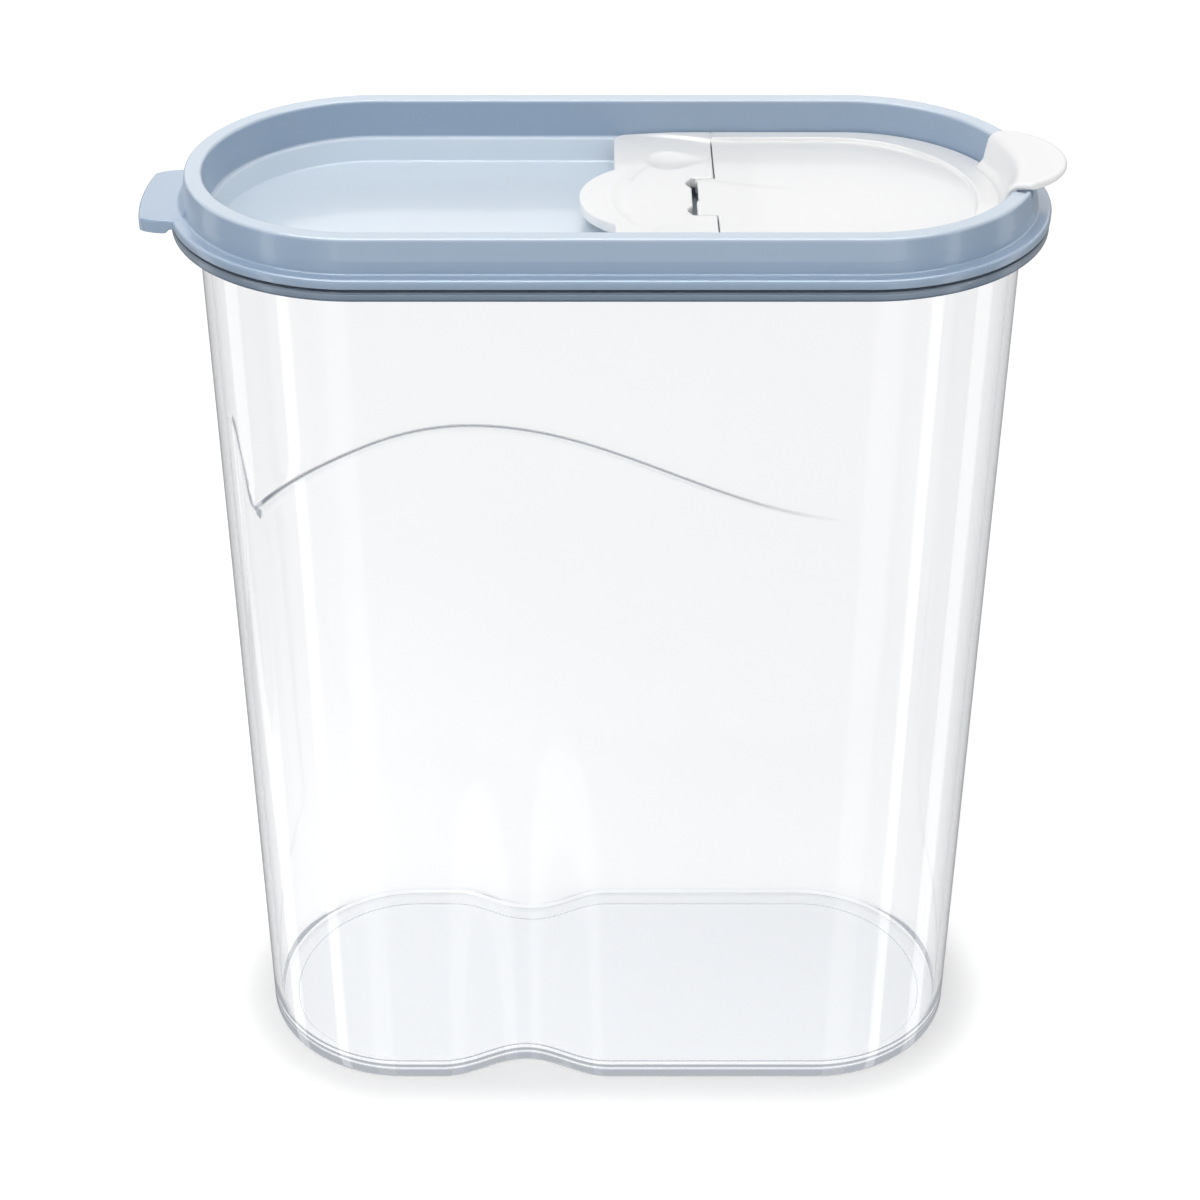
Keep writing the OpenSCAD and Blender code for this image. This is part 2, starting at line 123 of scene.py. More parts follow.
def held(points: list[tuple[float, float]], hold: float = 0.12 * MM) -> np.ndarray:
    """Add a point just inside both ends of each long side, so that a flat side is shaded flat.

    Args:
        points: A section's corners.
        hold: Distance of the added points from the corners.

    Returns:
        The section with the added points, one row each.
    """
    out = [points[0]]
    for (x0, z0), (x1, z1) in zip(points, points[1:]):
        length = math.hypot(x1 - x0, z1 - z0)
        if length > 5 * hold:
            k = hold / length
            out.append((x0 + (x1 - x0) * k, z0 + (z1 - z0) * k))
            out.append((x1 - (x1 - x0) * k, z1 - (z1 - z0) * k))
        out.append((x1, z1))
    return np.array(out)


@dataclass(frozen=True)
class StadiumPath:
    """A closed way round a stadium, from the left end's middle past the front and back again.

    Column j and column N - j mirror each other across the long axis.
    """

    half: float
    run_steps: int
    left: np.ndarray
    right: np.ndarray

    def normals(self) -> tuple[np.ndarray, np.ndarray, np.ndarray]:
        """Work out the columns.

        Returns:
            The x of each column's centre, and the x and y of its outward normal.
        """
        run = np.linspace(-self.half, self.half, self.run_steps + 1)[:-1]
        first = np.radians(self.left[(self.left >= 0) & (self.left < 90)])
        last = np.radians(self.left[self.left < 0])
        turn = np.radians(self.right[self.right < 90])
        flat = np.zeros(self.run_steps)
        cx = np.concatenate(
            [0 * first - self.half, run, 0 * turn + self.half, -run, 0 * last - self.half]
        )
        nx = np.concatenate([-np.cos(first), flat, np.cos(turn), flat, -np.cos(last)])
        ny = np.concatenate([-np.sin(first), flat - 1, np.sin(turn), flat + 1, -np.sin(last)])
        return cx, nx, ny

    def carry(self, radius: np.ndarray, height: np.ndarray) -> np.ndarray:
        """Place a section's points on every column: centre plus normal times radius.

        Args:
            radius: Radii, as rows or as rows by columns.
            height: Heights, as rows or as rows by columns.

        Returns:
            Points, rows by columns by 3.
        """
        cx, nx, ny = self.normals()
        r, z = (a[:, None] if a.ndim == 1 else a for a in (radius, height))
        return np.stack(np.broadcast_arrays(cx + nx * r, ny * r, z), axis=-1)


def ring_faces(rows: int, columns: int, closed_rows: bool = False) -> np.ndarray:
    """Quads of a grid whose columns run all the way round.

    Args:
        rows: Number of rows.
        columns: Number of columns.
        closed_rows: Whether the last row joins the first.

    Returns:
        Four indices a face.
    """
    last = rows if closed_rows else rows - 1
    i, j = np.meshgrid(np.arange(last), np.arange(columns), indexing="ij")
    up, along = (i + 1) % rows, (j + 1) % columns
    quads = [i * columns + j, i * columns + along, up * columns + along, up * columns + j]
    return np.stack(quads, axis=-1).reshape(-1, 4)


def sheet_faces(rows: int, columns: int) -> np.ndarray:
    """Quads of an open grid.

    Args:
        rows: Number of rows.
        columns: Number of columns.

    Returns:
        Four indices a face.
    """
    i, j = np.meshgrid(np.arange(rows - 1), np.arange(columns - 1), indexing="ij")
    at = i * columns + j
    return np.stack([at, at + 1, at + columns + 1, at + columns], axis=-1).reshape(-1, 4)


def cap_faces(first: int, columns: int, up: bool) -> list[list[int]]:
    """Close a flat stadium with strips between each column and its mirror.

    Args:
        first: Index of the row's first point.
        columns: Number of columns in the row.
        up: Whether the cap faces up.

    Returns:
        Faces of three or four indices.
    """
    faces = []
    for j in range(columns // 2):
        ring = [first + k for k in (j, j + 1, columns - j - 1, (columns - j) % columns)]
        ring = list(dict.fromkeys(ring))
        faces.append(ring if up else ring[::-1])
    return faces


def make_piece(name: str, points: np.ndarray, faces: list, sharp: float = 40.0) -> bpy.types.Object:
    """Make an object at the origin from points and faces, smooth except at sharp edges.

    Args:
        name: Name of the piece.
        points: Points, any shape by 3.
        faces: Lists of indices.
        sharp: Angle in degrees above which an edge stays sharp.

    Returns:
        The object, linked to the scene.
    """
    mesh = bpy.data.meshes.new(name)
    mesh.from_pydata(points.reshape(-1, 3).tolist(), [], faces)
    mesh.validate()
    solid = bmesh.new()
    solid.from_mesh(mesh)
    bmesh.ops.recalc_face_normals(solid, faces=solid.faces)
    solid.to_mesh(mesh)
    solid.free()
    mesh.update()
    mesh.shade_smooth()
    mesh.set_sharp_from_angle(angle=math.radians(sharp))
    piece = bpy.data.objects.new(name, mesh)
    bpy.context.scene.collection.objects.link(piece)
    return piece


def seat(piece: bpy.types.Object, body: Body, slot: Slot, *nodes: str) -> None:
    """Let a piece ride on its body and stand for its nodes.

    Args:
        piece: The object.
        body: Body that it rides on.
        slot: Slot of its finish; not used.
        nodes: Nodes that it replaces.
    """
    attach(piece, body.value)
    if nodes:
        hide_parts(*nodes)
    log.info("%s: %d faces, on %s", piece.name, len(piece.data.polygons), body.value)


# ------------------------------------------------------------------------------------- finishes


def shader(name: str) -> tuple[bpy.types.Material, bpy.types.ShaderNode]:
    """Start a node material.

    Args:
        name: Name of the material.

    Returns:
        The material and its Principled node.
    """
    material = bpy.data.materials.new(name)
    material.use_nodes = True
    return material, material.node_tree.nodes["Principled BSDF"]


class Wiring:
    """Shorthands for a node tree: each method adds one node and gives back its output."""

    def __init__(self, tree: bpy.types.NodeTree) -> None:
        """Keep the tree that the nodes go into."""
        self.tree = tree

    def put(self, value: object, socket: bpy.types.NodeSocket) -> None:
        """Link a socket, or set a number or a colour."""
        if isinstance(value, bpy.types.NodeSocket):
            self.tree.links.new(value, socket)
        else:
            socket.default_value = value

    def add(self, kind: str, **values: object) -> bpy.types.ShaderNode:
        """Add a node and fill the inputs that are named, with _ for a space."""
        node = self.tree.nodes.new(f"ShaderNode{kind}")
        for name, value in values.items():
            self.put(value, node.inputs[name.replace("_", " ")])
        return node

    def math(self, operation: str, *values: object) -> bpy.types.NodeSocket:
        """Work out a sum, a product or the like."""
        node = self.add("Math")
        node.operation = operation
        for value, socket in zip(values, node.inputs):
            self.put(value, socket)
        return node.outputs[0]

    def spread(self, value: object, low: float, high: float, smooth: bool = True) -> bpy.types.NodeSocket:
        """Run from 0 to 1 as a value goes from low to high."""
        node = self.add("MapRange", Value=value, From_Min=low, From_Max=high)
        node.interpolation_type = "SMOOTHSTEP" if smooth else "LINEAR"
        return node.outputs["Result"]

    def tint(self, share: object, low: tuple, high: tuple) -> bpy.types.NodeSocket:
        """Mix two colours."""
        node = self.add("Mix")
        node.data_type = "RGBA"
        for value, name in ((share, "Factor"), ((*low, 1), "A"), ((*high, 1), "B")):
            self.put(value, next(s for s in node.inputs if s.name == name and s.enabled))
        return next(s for s in node.outputs if s.enabled)

    def from_axis(self, place: bpy.types.NodeSocket, half: float) -> bpy.types.NodeSocket:
        """Distance seen from above to a line along x of this half length, in which a stadium is round."""
        parts = self.add("SeparateXYZ", Vector=place).outputs
        past = self.math("MAXIMUM", self.math("SUBTRACT", self.math("ABSOLUTE", parts["X"]), half), 0.0)
        squares = [self.math("MULTIPLY", v, v) for v in (past, parts["Y"])]
        return self.math("SQRT", self.math("ADD", *squares))

    def glow(self, level: object, kind: str = "Background", colour: tuple = (1, 1, 1)) -> bpy.types.NodeSocket:
        """Give off light of one level, white unless a colour is given."""
        return self.add(kind, Color=(*colour, 1), Strength=level).outputs[0]

    def mix(self, share: object, first: object, second: object) -> bpy.types.NodeSocket:
        """Mix two shaders."""
        node = self.add("MixShader")
        for value, socket in zip((share, first, second), node.inputs):
            self.put(value, socket)
        return node.outputs[0]


@dataclass(frozen=True)
class MouldedPlastic:
    """Satin moulded plastic: a faint cloud in the colour, a fine grain, and gloss that varies.

    In the well, inside a radius and below a height, the colour is painted paler: painted light that stands in for
    the light that comes through the single wall there. Along the crown's top it is painted a little paler, a painted
    highlight.
    """

    name: str
    colour: tuple[float, float, float]
    pale: tuple[float, float, float]
    half: float = 58 * MM
    painted_light_in: float = 37.6 * MM
    painted_light_below: float = 250.7 * MM
    crown: float = 259 * MM
    painted_highlight_share: float = 0.45
    blend: float = 0.8 * MM
    cloud: float = 0.03
    cloud_scale: float = 28.0
    roughness: float = 0.36
    grain: float = 0.06
    grain_size: float = 0.5 * MM
    grain_d: float = 0.05 * MM
    coat: float = 0.5
    coat_roughness: float = 0.1
    soft: float = 0.3
    soft_reach: float = 1.5 * MM

    def make(self) -> bpy.types.Material:
        """Build the material on Object coordinates."""
        material, base = shader(self.name)
        wire = Wiring(material.node_tree)
        place = wire.add("TexCoord").outputs["Object"]
        height = wire.add("SeparateXYZ", Vector=place).outputs["Z"]
        # Painted light: in the well the colour turns paler, for the light that comes through its single wall.
        above = wire.spread(height, self.painted_light_below, self.painted_light_below + self.blend)
        outside = wire.spread(wire.from_axis(place, self.half), self.painted_light_in, self.painted_light_in + self.blend)
        # Painted highlight: along the crown's top the colour turns a little paler.
        crown = wire.math("MULTIPLY", wire.spread(height, self.crown, self.crown + self.blend), self.painted_highlight_share)
        deep = wire.math("SUBTRACT", wire.math("MAXIMUM", above, outside), crown)
        tone = wire.tint(deep, self.pale, self.colour)
        cloud = wire.add("TexNoise", Vector=place, Scale=self.cloud_scale, Detail=3.0).outputs["Fac"]
        shift = wire.math("MULTIPLY_ADD", cloud, 2 * self.cloud, 1 - self.cloud)
        scale = wire.add("VectorMath", Vector=tone)
        scale.operation = "SCALE"
        wire.put(shift, scale.inputs["Scale"])
        grain = wire.add("TexNoise", Vector=place, Scale=1 / self.grain_size, Detail=2.0).outputs["Fac"]
        bump = wire.add("Bump", Strength=self.grain, Distance=self.grain_d, Height=grain)
        gloss = wire.math("MULTIPLY_ADD", cloud, 0.08, self.roughness - 0.04)
        wire.put(scale.outputs["Vector"], base.inputs["Base Color"])
        wire.put(gloss, base.inputs["Roughness"])
        wire.put(bump.outputs["Normal"], base.inputs["Normal"])
        base.inputs["IOR"].default_value = 1.49
        base.inputs["Coat Weight"].default_value = self.coat
        base.inputs["Coat Roughness"].default_value = self.coat_roughness
        base.inputs["Subsurface Weight"].default_value = self.soft
        base.inputs["Subsurface Radius"].default_value = (1.0, 1.0, 1.0)
        base.inputs["Subsurface Scale"].default_value = self.soft_reach
        return material


@dataclass(frozen=True)
class ClearPlastic:
    """Clear moulded plastic that lets light through to the floor, with a faint unevenness.

    Its colour is painted darker where it is seen at a grazing angle, a painted shade along its outline, and
    on the slope of the wavy step, a painted shade whose share each point carries as an attribute.
    The rim, outside a radius and between two heights, is painted in the lid's colour, a painted shade that stands in
    for the lid's shaded underside seen through it, and is painted darkest along its upper and lower edge.
    """

    name: str
    tint: tuple[float, float, float]
    outline_shade_tint: tuple[float, float, float] = (0.26, 0.3, 0.37)
    edge_from: float = 0.84
    edge_to: float = 0.97
    ior: float = 1.5
    ripple: float = 0.02
    ripple_scale: float = 60.0
    shade: float = 0.96
    led: float = 0.52
    painted_glow_colour: tuple[float, float, float] = (0.9, 0.95, 1.03)
    led_turns: float = 1.5
    led_after: float = 7.5
    half: float = 58 * MM
    rim_from: float = 42 * MM
    rim_low: float = 246.3 * MM
    rim_high: float = 248.9 * MM
    rim_line: float = 0.5 * MM
    rim_painted_lid: tuple[float, float, float] = (0.3, 0.38, 0.48)
    rim_edge_shade: tuple[float, float, float] = (0.11, 0.15, 0.21)
    rim_share: float = 0.6
    rim_edge_shade_share: float = 0.25
    rim_roughness: float = 0.3
    step_shade_share: float = 0.75

    def make(self) -> bpy.types.Material:
        """Build the material: clear to the eye, and see-through to shadow rays.

        A ray that is turned back inside a wall again and again is led along it, and there the plastic glows an even
        grey, painted light from a surface that is no lamp.
        """
        material, base = shader(self.name)
        wire = Wiring(material.node_tree)
        # Painted shade: the colour darkens towards the outline, where the wall is seen at a grazing angle.
        grazing = wire.spread(wire.add("LayerWeight", Blend=0.5).outputs["Facing"], self.edge_from, self.edge_to)
        wire.put(wire.tint(grazing, self.tint, self.outline_shade_tint), base.inputs["Base Color"])
        base.inputs["Transmission Weight"].default_value = 1.0
        base.inputs["IOR"].default_value = self.ior
        place = wire.add("TexCoord").outputs["Object"]
        wave = wire.add("TexNoise", Vector=place, Scale=self.ripple_scale, Detail=1.0).outputs["Fac"]
        wire.put(wire.math("MULTIPLY", wave, self.ripple), base.inputs["Roughness"])
        height = wire.add("SeparateXYZ", Vector=place).outputs["Z"]
        # Painted shade: the rim takes a share of the lid's colour, darkest along its upper and lower edge.
        line = self.rim_line
        outside = wire.spread(wire.from_axis(place, self.half), self.rim_from - line, self.rim_from)
        above = wire.spread(height, self.rim_low - line, self.rim_low)
        below = wire.spread(height, self.rim_high + line, self.rim_high)
        rim = wire.math("MULTIPLY", outside, wire.math("MULTIPLY", above, below))
        low_line = wire.spread(height, self.rim_low + 2 * line, self.rim_low + line)
        high_line = wire.spread(height, self.rim_high - 2 * line, self.rim_high - line)
        lines = wire.math("MAXIMUM", low_line, high_line)
        share = wire.math("MULTIPLY", rim, wire.math("MULTIPLY_ADD", lines, self.rim_edge_shade_share, self.rim_share))
        # Painted shade on the slope of the wavy step, read from the point attribute.
        step = wire.add("Attribute")
        step.attribute_name = STEP_SHADE
        share = wire.math("MAXIMUM", share, wire.math("MULTIPLY", step.outputs["Fac"], self.step_shade_share))
        colour = wire.tint(lines, self.rim_painted_lid, self.rim_edge_shade)
        painted_shade_bsdf = wire.add("BsdfPrincipled", Base_Color=colour, Roughness=self.rim_roughness).outputs["BSDF"]
        body = wire.mix(share, base.outputs["BSDF"], painted_shade_bsdf)
        clear = wire.add("BsdfTransparent", Color=(self.shade,) * 3 + (1,)).outputs["BSDF"]
        ray = wire.add("LightPath").outputs
        # Painted light: after many bounces inside a wall the plastic gives off an even grey glow.
        long_way = wire.math("MAXIMUM", wire.math("GREATER_THAN", ray["Glossy Depth"], self.led_turns),
                             wire.math("GREATER_THAN", ray["Ray Depth"], self.led_after))
        seen = wire.mix(long_way, body, wire.glow(self.led, "Emission", self.painted_glow_colour))
        shown = wire.mix(ray["Is Shadow Ray"], seen, clear)
        wire.put(shown, material.node_tree.nodes["Material Output"].inputs["Surface"])
        return material


# ------------------------------------------------------------------------------------ container


@dataclass
class Container:
    """The clear body: tapering walls, a waist to grip, a wavy step, an out-turned rim and a lip."""

    half: float = 58 * MM
    base_r: float = 40.6 * MM
    top_r: float = 40.9 * MM
    body_h: float = 248.8 * MM
    wall: float = 2 * MM
    floor_t: float = 2.4 * MM
    floor_fillet: float = 4 * MM
    foot_r: float = 1 * MM
    foot_w: float = 6.8 * MM
    foot_h: float = 0.5 * MM
    rim_t: float = 2.4 * MM
    rim_out: float = 6.1 * MM
    lip_h: float = 5.7 * MM
    lip_t: float = 1.3 * MM
    lip_out: float = 0.65 * MM
    edge: float = 0.4 * MM
    rim_edge: float = 0.12 * MM
    waist_d: float = 7 * MM
    waist_x: float = -23.5 * MM
    waist_half: float = 23.5 * MM
    waist_top: float = 172 * MM
    crease_d: float = 1.2 * MM
    crease_w: float = 2 * MM
    crease_in: float = 2.5
    crease_drop: float = 36.8 * MM
    crease_fall: float = 26 * MM
    crease_dip: float = 31.4 * MM
    crease_arm: float = 24 * MM
    crease_fade: float = 120 * MM
    peak_s: float = -33 * MM
    dip_s: float = -92 * MM
    arm_s: float = 7 * MM
    wave_l: float = 95 * MM
    columns: StadiumPath = field(init=False)

    def __post_init__(self) -> None:
        """Lay out the columns, closer on the ends than on the runs."""
        end = np.linspace(-90, 90, 85)
        self.columns = StadiumPath(self.half, 116, end, end)

    def way(self) -> np.ndarray:
        """Distance of each column round the wall from the front's middle, negative to the left."""
        cx, nx, ny = self.columns.normals()
        angle = np.arctan2(np.abs(nx), -ny)
        right = self.half + self.top_r * angle
        left = -self.half - self.top_r * angle
        front = np.where(ny < -0.999999, cx, np.where(nx > 0, right, left))
        back = self.half + math.pi * self.top_r + self.half - cx
        return np.where(ny > 0.999999, back, front)

    def crease_z(self, s: np.ndarray) -> np.ndarray:
        """Height of the wavy step: a cosine right of its top, a parabola left of it, then an arm.

        Args:
            s: Way round the wall.

        Returns:
            Heights.
        """
        peak = self.body_h - self.crease_drop
        low = peak - self.crease_dip
        fall = self.crease_fall / 2 * (1 - np.cos(np.pi * np.minimum((s - self.peak_s) / self.wave_l, 1)))
        bow = self.crease_dip * ((self.peak_s - s) / (self.peak_s - self.dip_s)) ** 2
        arm = low + self.crease_arm * ease((self.dip_s - s) / self.arm_s)
        rest = self.crease_dip - self.crease_arm - self.crease_fall
        far = low + self.crease_arm + rest * ease((self.dip_s - self.arm_s - s) / (60 * MM))
        return np.select(
            [s >= self.peak_s, s >= self.dip_s, s >= self.dip_s - self.arm_s],
            [peak - fall, peak - bow, arm],
            far,
        )

    def crease_depth(self, s: np.ndarray) -> np.ndarray:
        """Depth of the step, fading out at both ends of the wave."""
        return (
            self.crease_d
            * ease((62 * MM - s) / (44 * MM))
            * ease((s - self.dip_s + 8 * MM) / (10 * MM))
        )

    def skin(self, z: np.ndarray, depth: np.ndarray | float) -> np.ndarray:
        """Radius of the wall at each height and column, less a depth below its outside.

        The waist is a squared cosine along the straight runs that eases out with height. Below the
        wavy step the wall is set in, over a wider band inside than outside, and that eases out down
        the wall.

        Args:
            z: Heights, rows by columns.
            depth: Depth below the outside face.

        Returns:
            Radii, rows by columns.
        """
        cx, nx, _ = self.columns.normals()
        s = self.way()
        plain = self.base_r + (self.top_r - self.base_r) * z / self.body_h
        along = (cx - self.waist_x) / self.waist_half
        inside = (np.abs(nx) < 1e-9) & (np.abs(along) < 1)
        waist = np.where(inside, self.waist_d * np.cos(np.pi / 2 * along) ** 2, 0.0)
        waist = waist * ease(1 - z / self.waist_top)
        under = self.crease_z(s) - z
        wide = self.crease_w * (1 + (self.crease_in - 1) * np.clip(depth / self.wall, 0, 1))
        step = self.crease_depth(s) * ease(under / wide)
        step = step * ease(1 - (under - wide) / self.crease_fade)
        return plain - depth - waist - step

    def wall_rows(self, start: float, end: float) -> np.ndarray:
        """Heights of the wall's rows: evenly up to the step, closely over it, and on to the end.

        Args:
            start: Height of the first row.
            end: Height of the last row.

        Returns:
            Heights, rows by columns.
        """
        k = self.crease_z(self.way())
        wide = self.crease_w * self.crease_in
        low = start + (k - wide - start) * np.linspace(0, 1, 36)[:-1, None]
        step = k - wide * np.linspace(1, 0, 25)[:-1, None]
        high = k + (end - k) * np.linspace(0, 1, 12)[:, None]
        return np.concatenate([low, step, high])

    def rim_section(self) -> np.ndarray:
        """Section of the rim and the lip, from under the rim to the lip's inside."""
        e, top = self.edge, self.rim_edge
        rim_r = self.top_r + self.rim_out
        under = self.body_h - self.rim_t
        lip_r = self.top_r + self.lip_out
        lip_in = lip_r - self.lip_t
        lip_top = self.body_h + self.lip_h
        neck = 1 * MM
        return held(
            arc(self.top_r + neck, under - neck, neck, 180, 90, 5)
            + arc(rim_r - e, under + e, e, -90, 0, 4)
            + arc(rim_r - top, self.body_h - top, top, 0, 90, 4)
            + arc(lip_r + e, self.body_h + e, e, 270, 180, 4)
            + arc(lip_r - e, lip_top - e, e, 0, 90, 4)
            + arc(lip_in + e, lip_top - e, e, 90, 180, 4)
            + [(lip_in, self.body_h + 0.7 * MM)]
        )

    def build(self, finish: bpy.types.Material) -> bpy.types.Object:
        """Make the shell as one closed surface: foot, outside, rim, lip, inside and floor.

        Args:
            finish: The clear finish.

        Returns:
            The piece.
        """
        path = self.columns
        f, g = self.foot_r, self.floor_fillet
        count = len(self.way())

        def turn(points: list[tuple[float, float]]) -> np.ndarray:
            """Place points given as depth below the outside face and height."""
            depth, z = np.array(points).T
            wide = z[:, None] + np.zeros(count)
            return path.carry(self.skin(wide, depth[:, None]), wide)

        low = self.floor_t + g
        inner_top = self.body_h - 2.3 * MM
        w, h = self.foot_w, self.foot_h
        foot = turn([(w + 0.6 * MM, h), (w + 0.25 * MM, h), (w, h - 0.1 * MM), (w, 0.1 * MM), (w - 0.1 * MM, 0)]
                    + [(f - f * math.cos(a), f - f * math.sin(a)) for a in np.radians(np.linspace(90, 0, 9))])
        up = self.wall_rows(f, self.body_h - self.rim_t - 1.2 * MM)[1:]
        down = self.wall_rows(low, inner_top)[:0:-1]
        r, z = self.rim_section().T
        inner = turn([(self.wall + g * (1 - math.cos(a)), low - g * math.sin(a))
                      for a in np.radians(np.linspace(0, 90, 13))])
        rows = np.concatenate([
            foot,
            path.carry(self.skin(up, 0.0), up),
            path.carry(r, z),
            path.carry(self.skin(down, self.wall), down),
            inner,
        ])
        faces = ring_faces(len(rows), count).tolist()
        faces += cap_faces(0, count, up=False)
        faces += cap_faces((len(rows) - 1) * count, count, up=True)
        piece = make_piece("clear_container", rows, faces)
        # Painted shade along the slope of the wavy step, kept as a point attribute for the clear finish.
        under = (self.crease_z(self.way()) - up) / self.crease_w
        line = np.zeros(rows.shape[:2])
        step_shade_depth = self.crease_depth(self.way()) * ease((self.way() - self.dip_s) / (6 * MM))
        line[len(foot):len(foot) + len(up)] = np.clip(1 - np.abs(2 * under - 1), 0, 1) * step_shade_depth
        share = piece.data.attributes.new(STEP_SHADE, "FLOAT", "POINT")
        share.data.foreach_set("value", (line / self.crease_d).ravel())
        piece.data.materials.append(finish)
        seat(piece, Body.CONTAINER, Slot.CLEAR, "container")
        return piece


# ------------------------------------------------------------------------------------------ lid


@dataclass
class Lid:
    """The blue lid: a hollow crowned rim, a flange with a pull tab, a ledge, a panel and a collar."""

    body: Container
    fit: float = 0.3 * MM
    skin: float = 1.15 * MM
    crown_h: float = 11.2 * MM
    crown_draft: float = 0.9 * MM
    crown_round: float = 0.7 * MM
    flange_t: float = 1.6 * MM
    flange_gap: float = 1.3 * MM
    flange_over: float = 0.18 * MM
    flange_skirt: float = 0.55 * MM
    flange_low_edge: float = 0.12 * MM
    ledge_depth: float = 9.4 * MM
    ledge_w: float = 1.5 * MM
    well_depth: float = 5.8 * MM
    panel_t: float = 1.4 * MM
    tab_w: float = 31 * MM
    tab_reach: float = 7 * MM
    tab_t: float = 2.3 * MM
    tab_skirt: float = 1 * MM
    tab_bow: float = 70 * MM
    notch_w: float = 33 * MM
    pour_r: float = 31 * MM
    pour_x: float = 33.95 * MM
    pour_c: float = 54 * MM
    collar_h: float = 2.4 * MM
    collar_t: float = 1.3 * MM
    columns: StadiumPath = field(init=False)

    def __post_init__(self) -> None:
        """Lay out the columns, close together where the notch and the pull tab begin."""
        def spaced(*stops: tuple[float, int]) -> np.ndarray:
            """Angles from 0 through each stop, given with its number of steps, mirrored."""
            out, at = [0.0], 0.0
            for stop, steps in stops:
                out += list(np.linspace(at, stop, steps + 1)[1:])
                at = stop
            return np.array([-a for a in out[:0:-1]] + out)

        left = spaced((15.0, 12), (22.5, 36), (90.0, 34))
        right = spaced((20.0, 14), (28.0, 36), (90.0, 32))
        self.columns = StadiumPath(self.body.half, 72, left, right)

    @property
    def crown_z(self) -> float:
        """Height of the rim's crown."""
        return self.body.body_h + self.crown_h

    @property
    def inner_r(self) -> float:
        """Radius of the rim's inside at the crown."""
        return self.body.top_r + self.body.lip_out - self.body.lip_t - self.fit - self.skin

    @property
    def recess_r(self) -> float:
        """Radius of the rim's inside at the ledge."""
        return self.inner_r - 0.45 * MM

    @property
    def ledge_z(self) -> float:
        """Height of the ledge."""
        return self.crown_z - self.ledge_depth

    @property
    def panel_z(self) -> float:
        """Height of the panel."""
        return self.ledge_z - self.well_depth

    def tab_radius(self, angle: np.ndarray) -> np.ndarray:
        """Reach of the pull tab from the left end's centre, as seen at each angle.

        The tab's outline is its two straight sides and a flat bow at its tip, with soft corners.

        Args:
            angle: Angles from the -X direction, in radians.

        Returns:
            Radii.
        """
        flange_r = self.body.top_r + self.body.rim_out + self.flange_over
        tip = flange_r + self.tab_reach
        back = tip - self.tab_bow
        bow = back * np.cos(angle) + np.sqrt(self.tab_bow**2 - (back * np.sin(angle)) ** 2)
        side = self.tab_w / 2 / np.maximum(np.abs(np.sin(angle)), 1e-6)
        tab = soft_min(bow, side, 13 * MM)
        return -soft_min(-tab, np.full_like(tab, -flange_r), 1.2 * MM)

    def hole(self, grow: float) -> tuple[np.ndarray, np.ndarray]:
        """Outline of the pouring hole, one point for each column, as seen from its centre.

        Args:
            grow: Distance outside the hole's own edge.

        Returns:
            x and y of each column's point.
        """
        cx, nx, ny = self.columns.normals()
        r = self.inner_r
        dx, dy = cx + nx * r - self.pour_c, ny * r
        far = np.hypot(dx, dy)
        dx, dy = dx / far, dy / far
        side = self.pour_r / np.maximum(np.abs(dy), 1e-6)
        start = (self.pour_c - self.pour_x) / np.maximum(-dx, 1e-6)
        reach = np.where(dx >= 0, self.pour_r, soft_min(side, start, 8 * MM)) + grow
        return self.pour_c + dx * reach, dy * reach

    def section(self, tab: np.ndarray, tab_share: np.ndarray) -> tuple[np.ndarray, np.ndarray]:
        """Section of the rim from the panel's underside round to the panel's top.

        Args:
            tab: Radius of the flange's edge at each column.
            tab_share: 1 at the pull tab's columns, 0 elsewhere.

        Returns:
            Radii and heights, rows by columns.
        """
        b = self.body
        e, corner = 0.4 * MM, 0.5 * MM
        lip_r = b.top_r + b.lip_out
        lip_in = lip_r - b.lip_t
        channel_z = b.body_h + b.lip_h + self.fit
        core_z = self.crown_z - 1.3 * MM
        flange_z = b.body_h + self.flange_gap
        flange_top = flange_z + self.flange_t
        crown_r = lip_r + self.fit + self.skin
        foot_r = crown_r + self.crown_draft
        well_r = self.recess_r - self.ledge_w
        well_foot = well_r - 0.6 * MM
        under = self.panel_z - self.panel_t
        top = self.crown_round
        in_low = b.body_h - 2.6 * MM
        mid = (lip_in + lip_r) / 2

        parts = [
            arc(well_foot + 0.4 * MM, under + 1 * MM, 1 * MM, -90, 0, 5),
            [(b.top_r - b.wall - 0.5 * MM, in_low)],
            [(lip_in - self.fit, b.body_h + 0.4 * MM)],
            arc(mid - 0.2 * MM, core_z - 0.4 * MM, 0.4 * MM, 180, 90, 3),
            arc(mid + 0.2 * MM, core_z - 0.4 * MM, 0.4 * MM, 90, 0, 3),
            [(lip_r + self.fit, flange_z)],
        ]
        inside = held([p for part in parts for p in part])
        tail = [
            arc(crown_r - top, self.crown_z - top, top, 5, 90, 7),
            arc(self.inner_r + top, self.crown_z - top, top, 90, 177, 7),
            arc(self.recess_r - e, self.ledge_z + e, e, 0, -90, 4),
            arc(well_r - 0.3 * MM + 0.6 * MM, self.ledge_z - 0.3 * MM, 0.3 * MM, 90, 180, 3),
            arc(well_foot - corner, self.panel_z + corner, corner, 0, -90, 4),
            [(well_foot - 2 * MM, self.panel_z)],
        ]
        crown = held([(foot_r - 0.05 * MM, flange_top + 3.2 * MM)] + [p for part in tail for p in part])

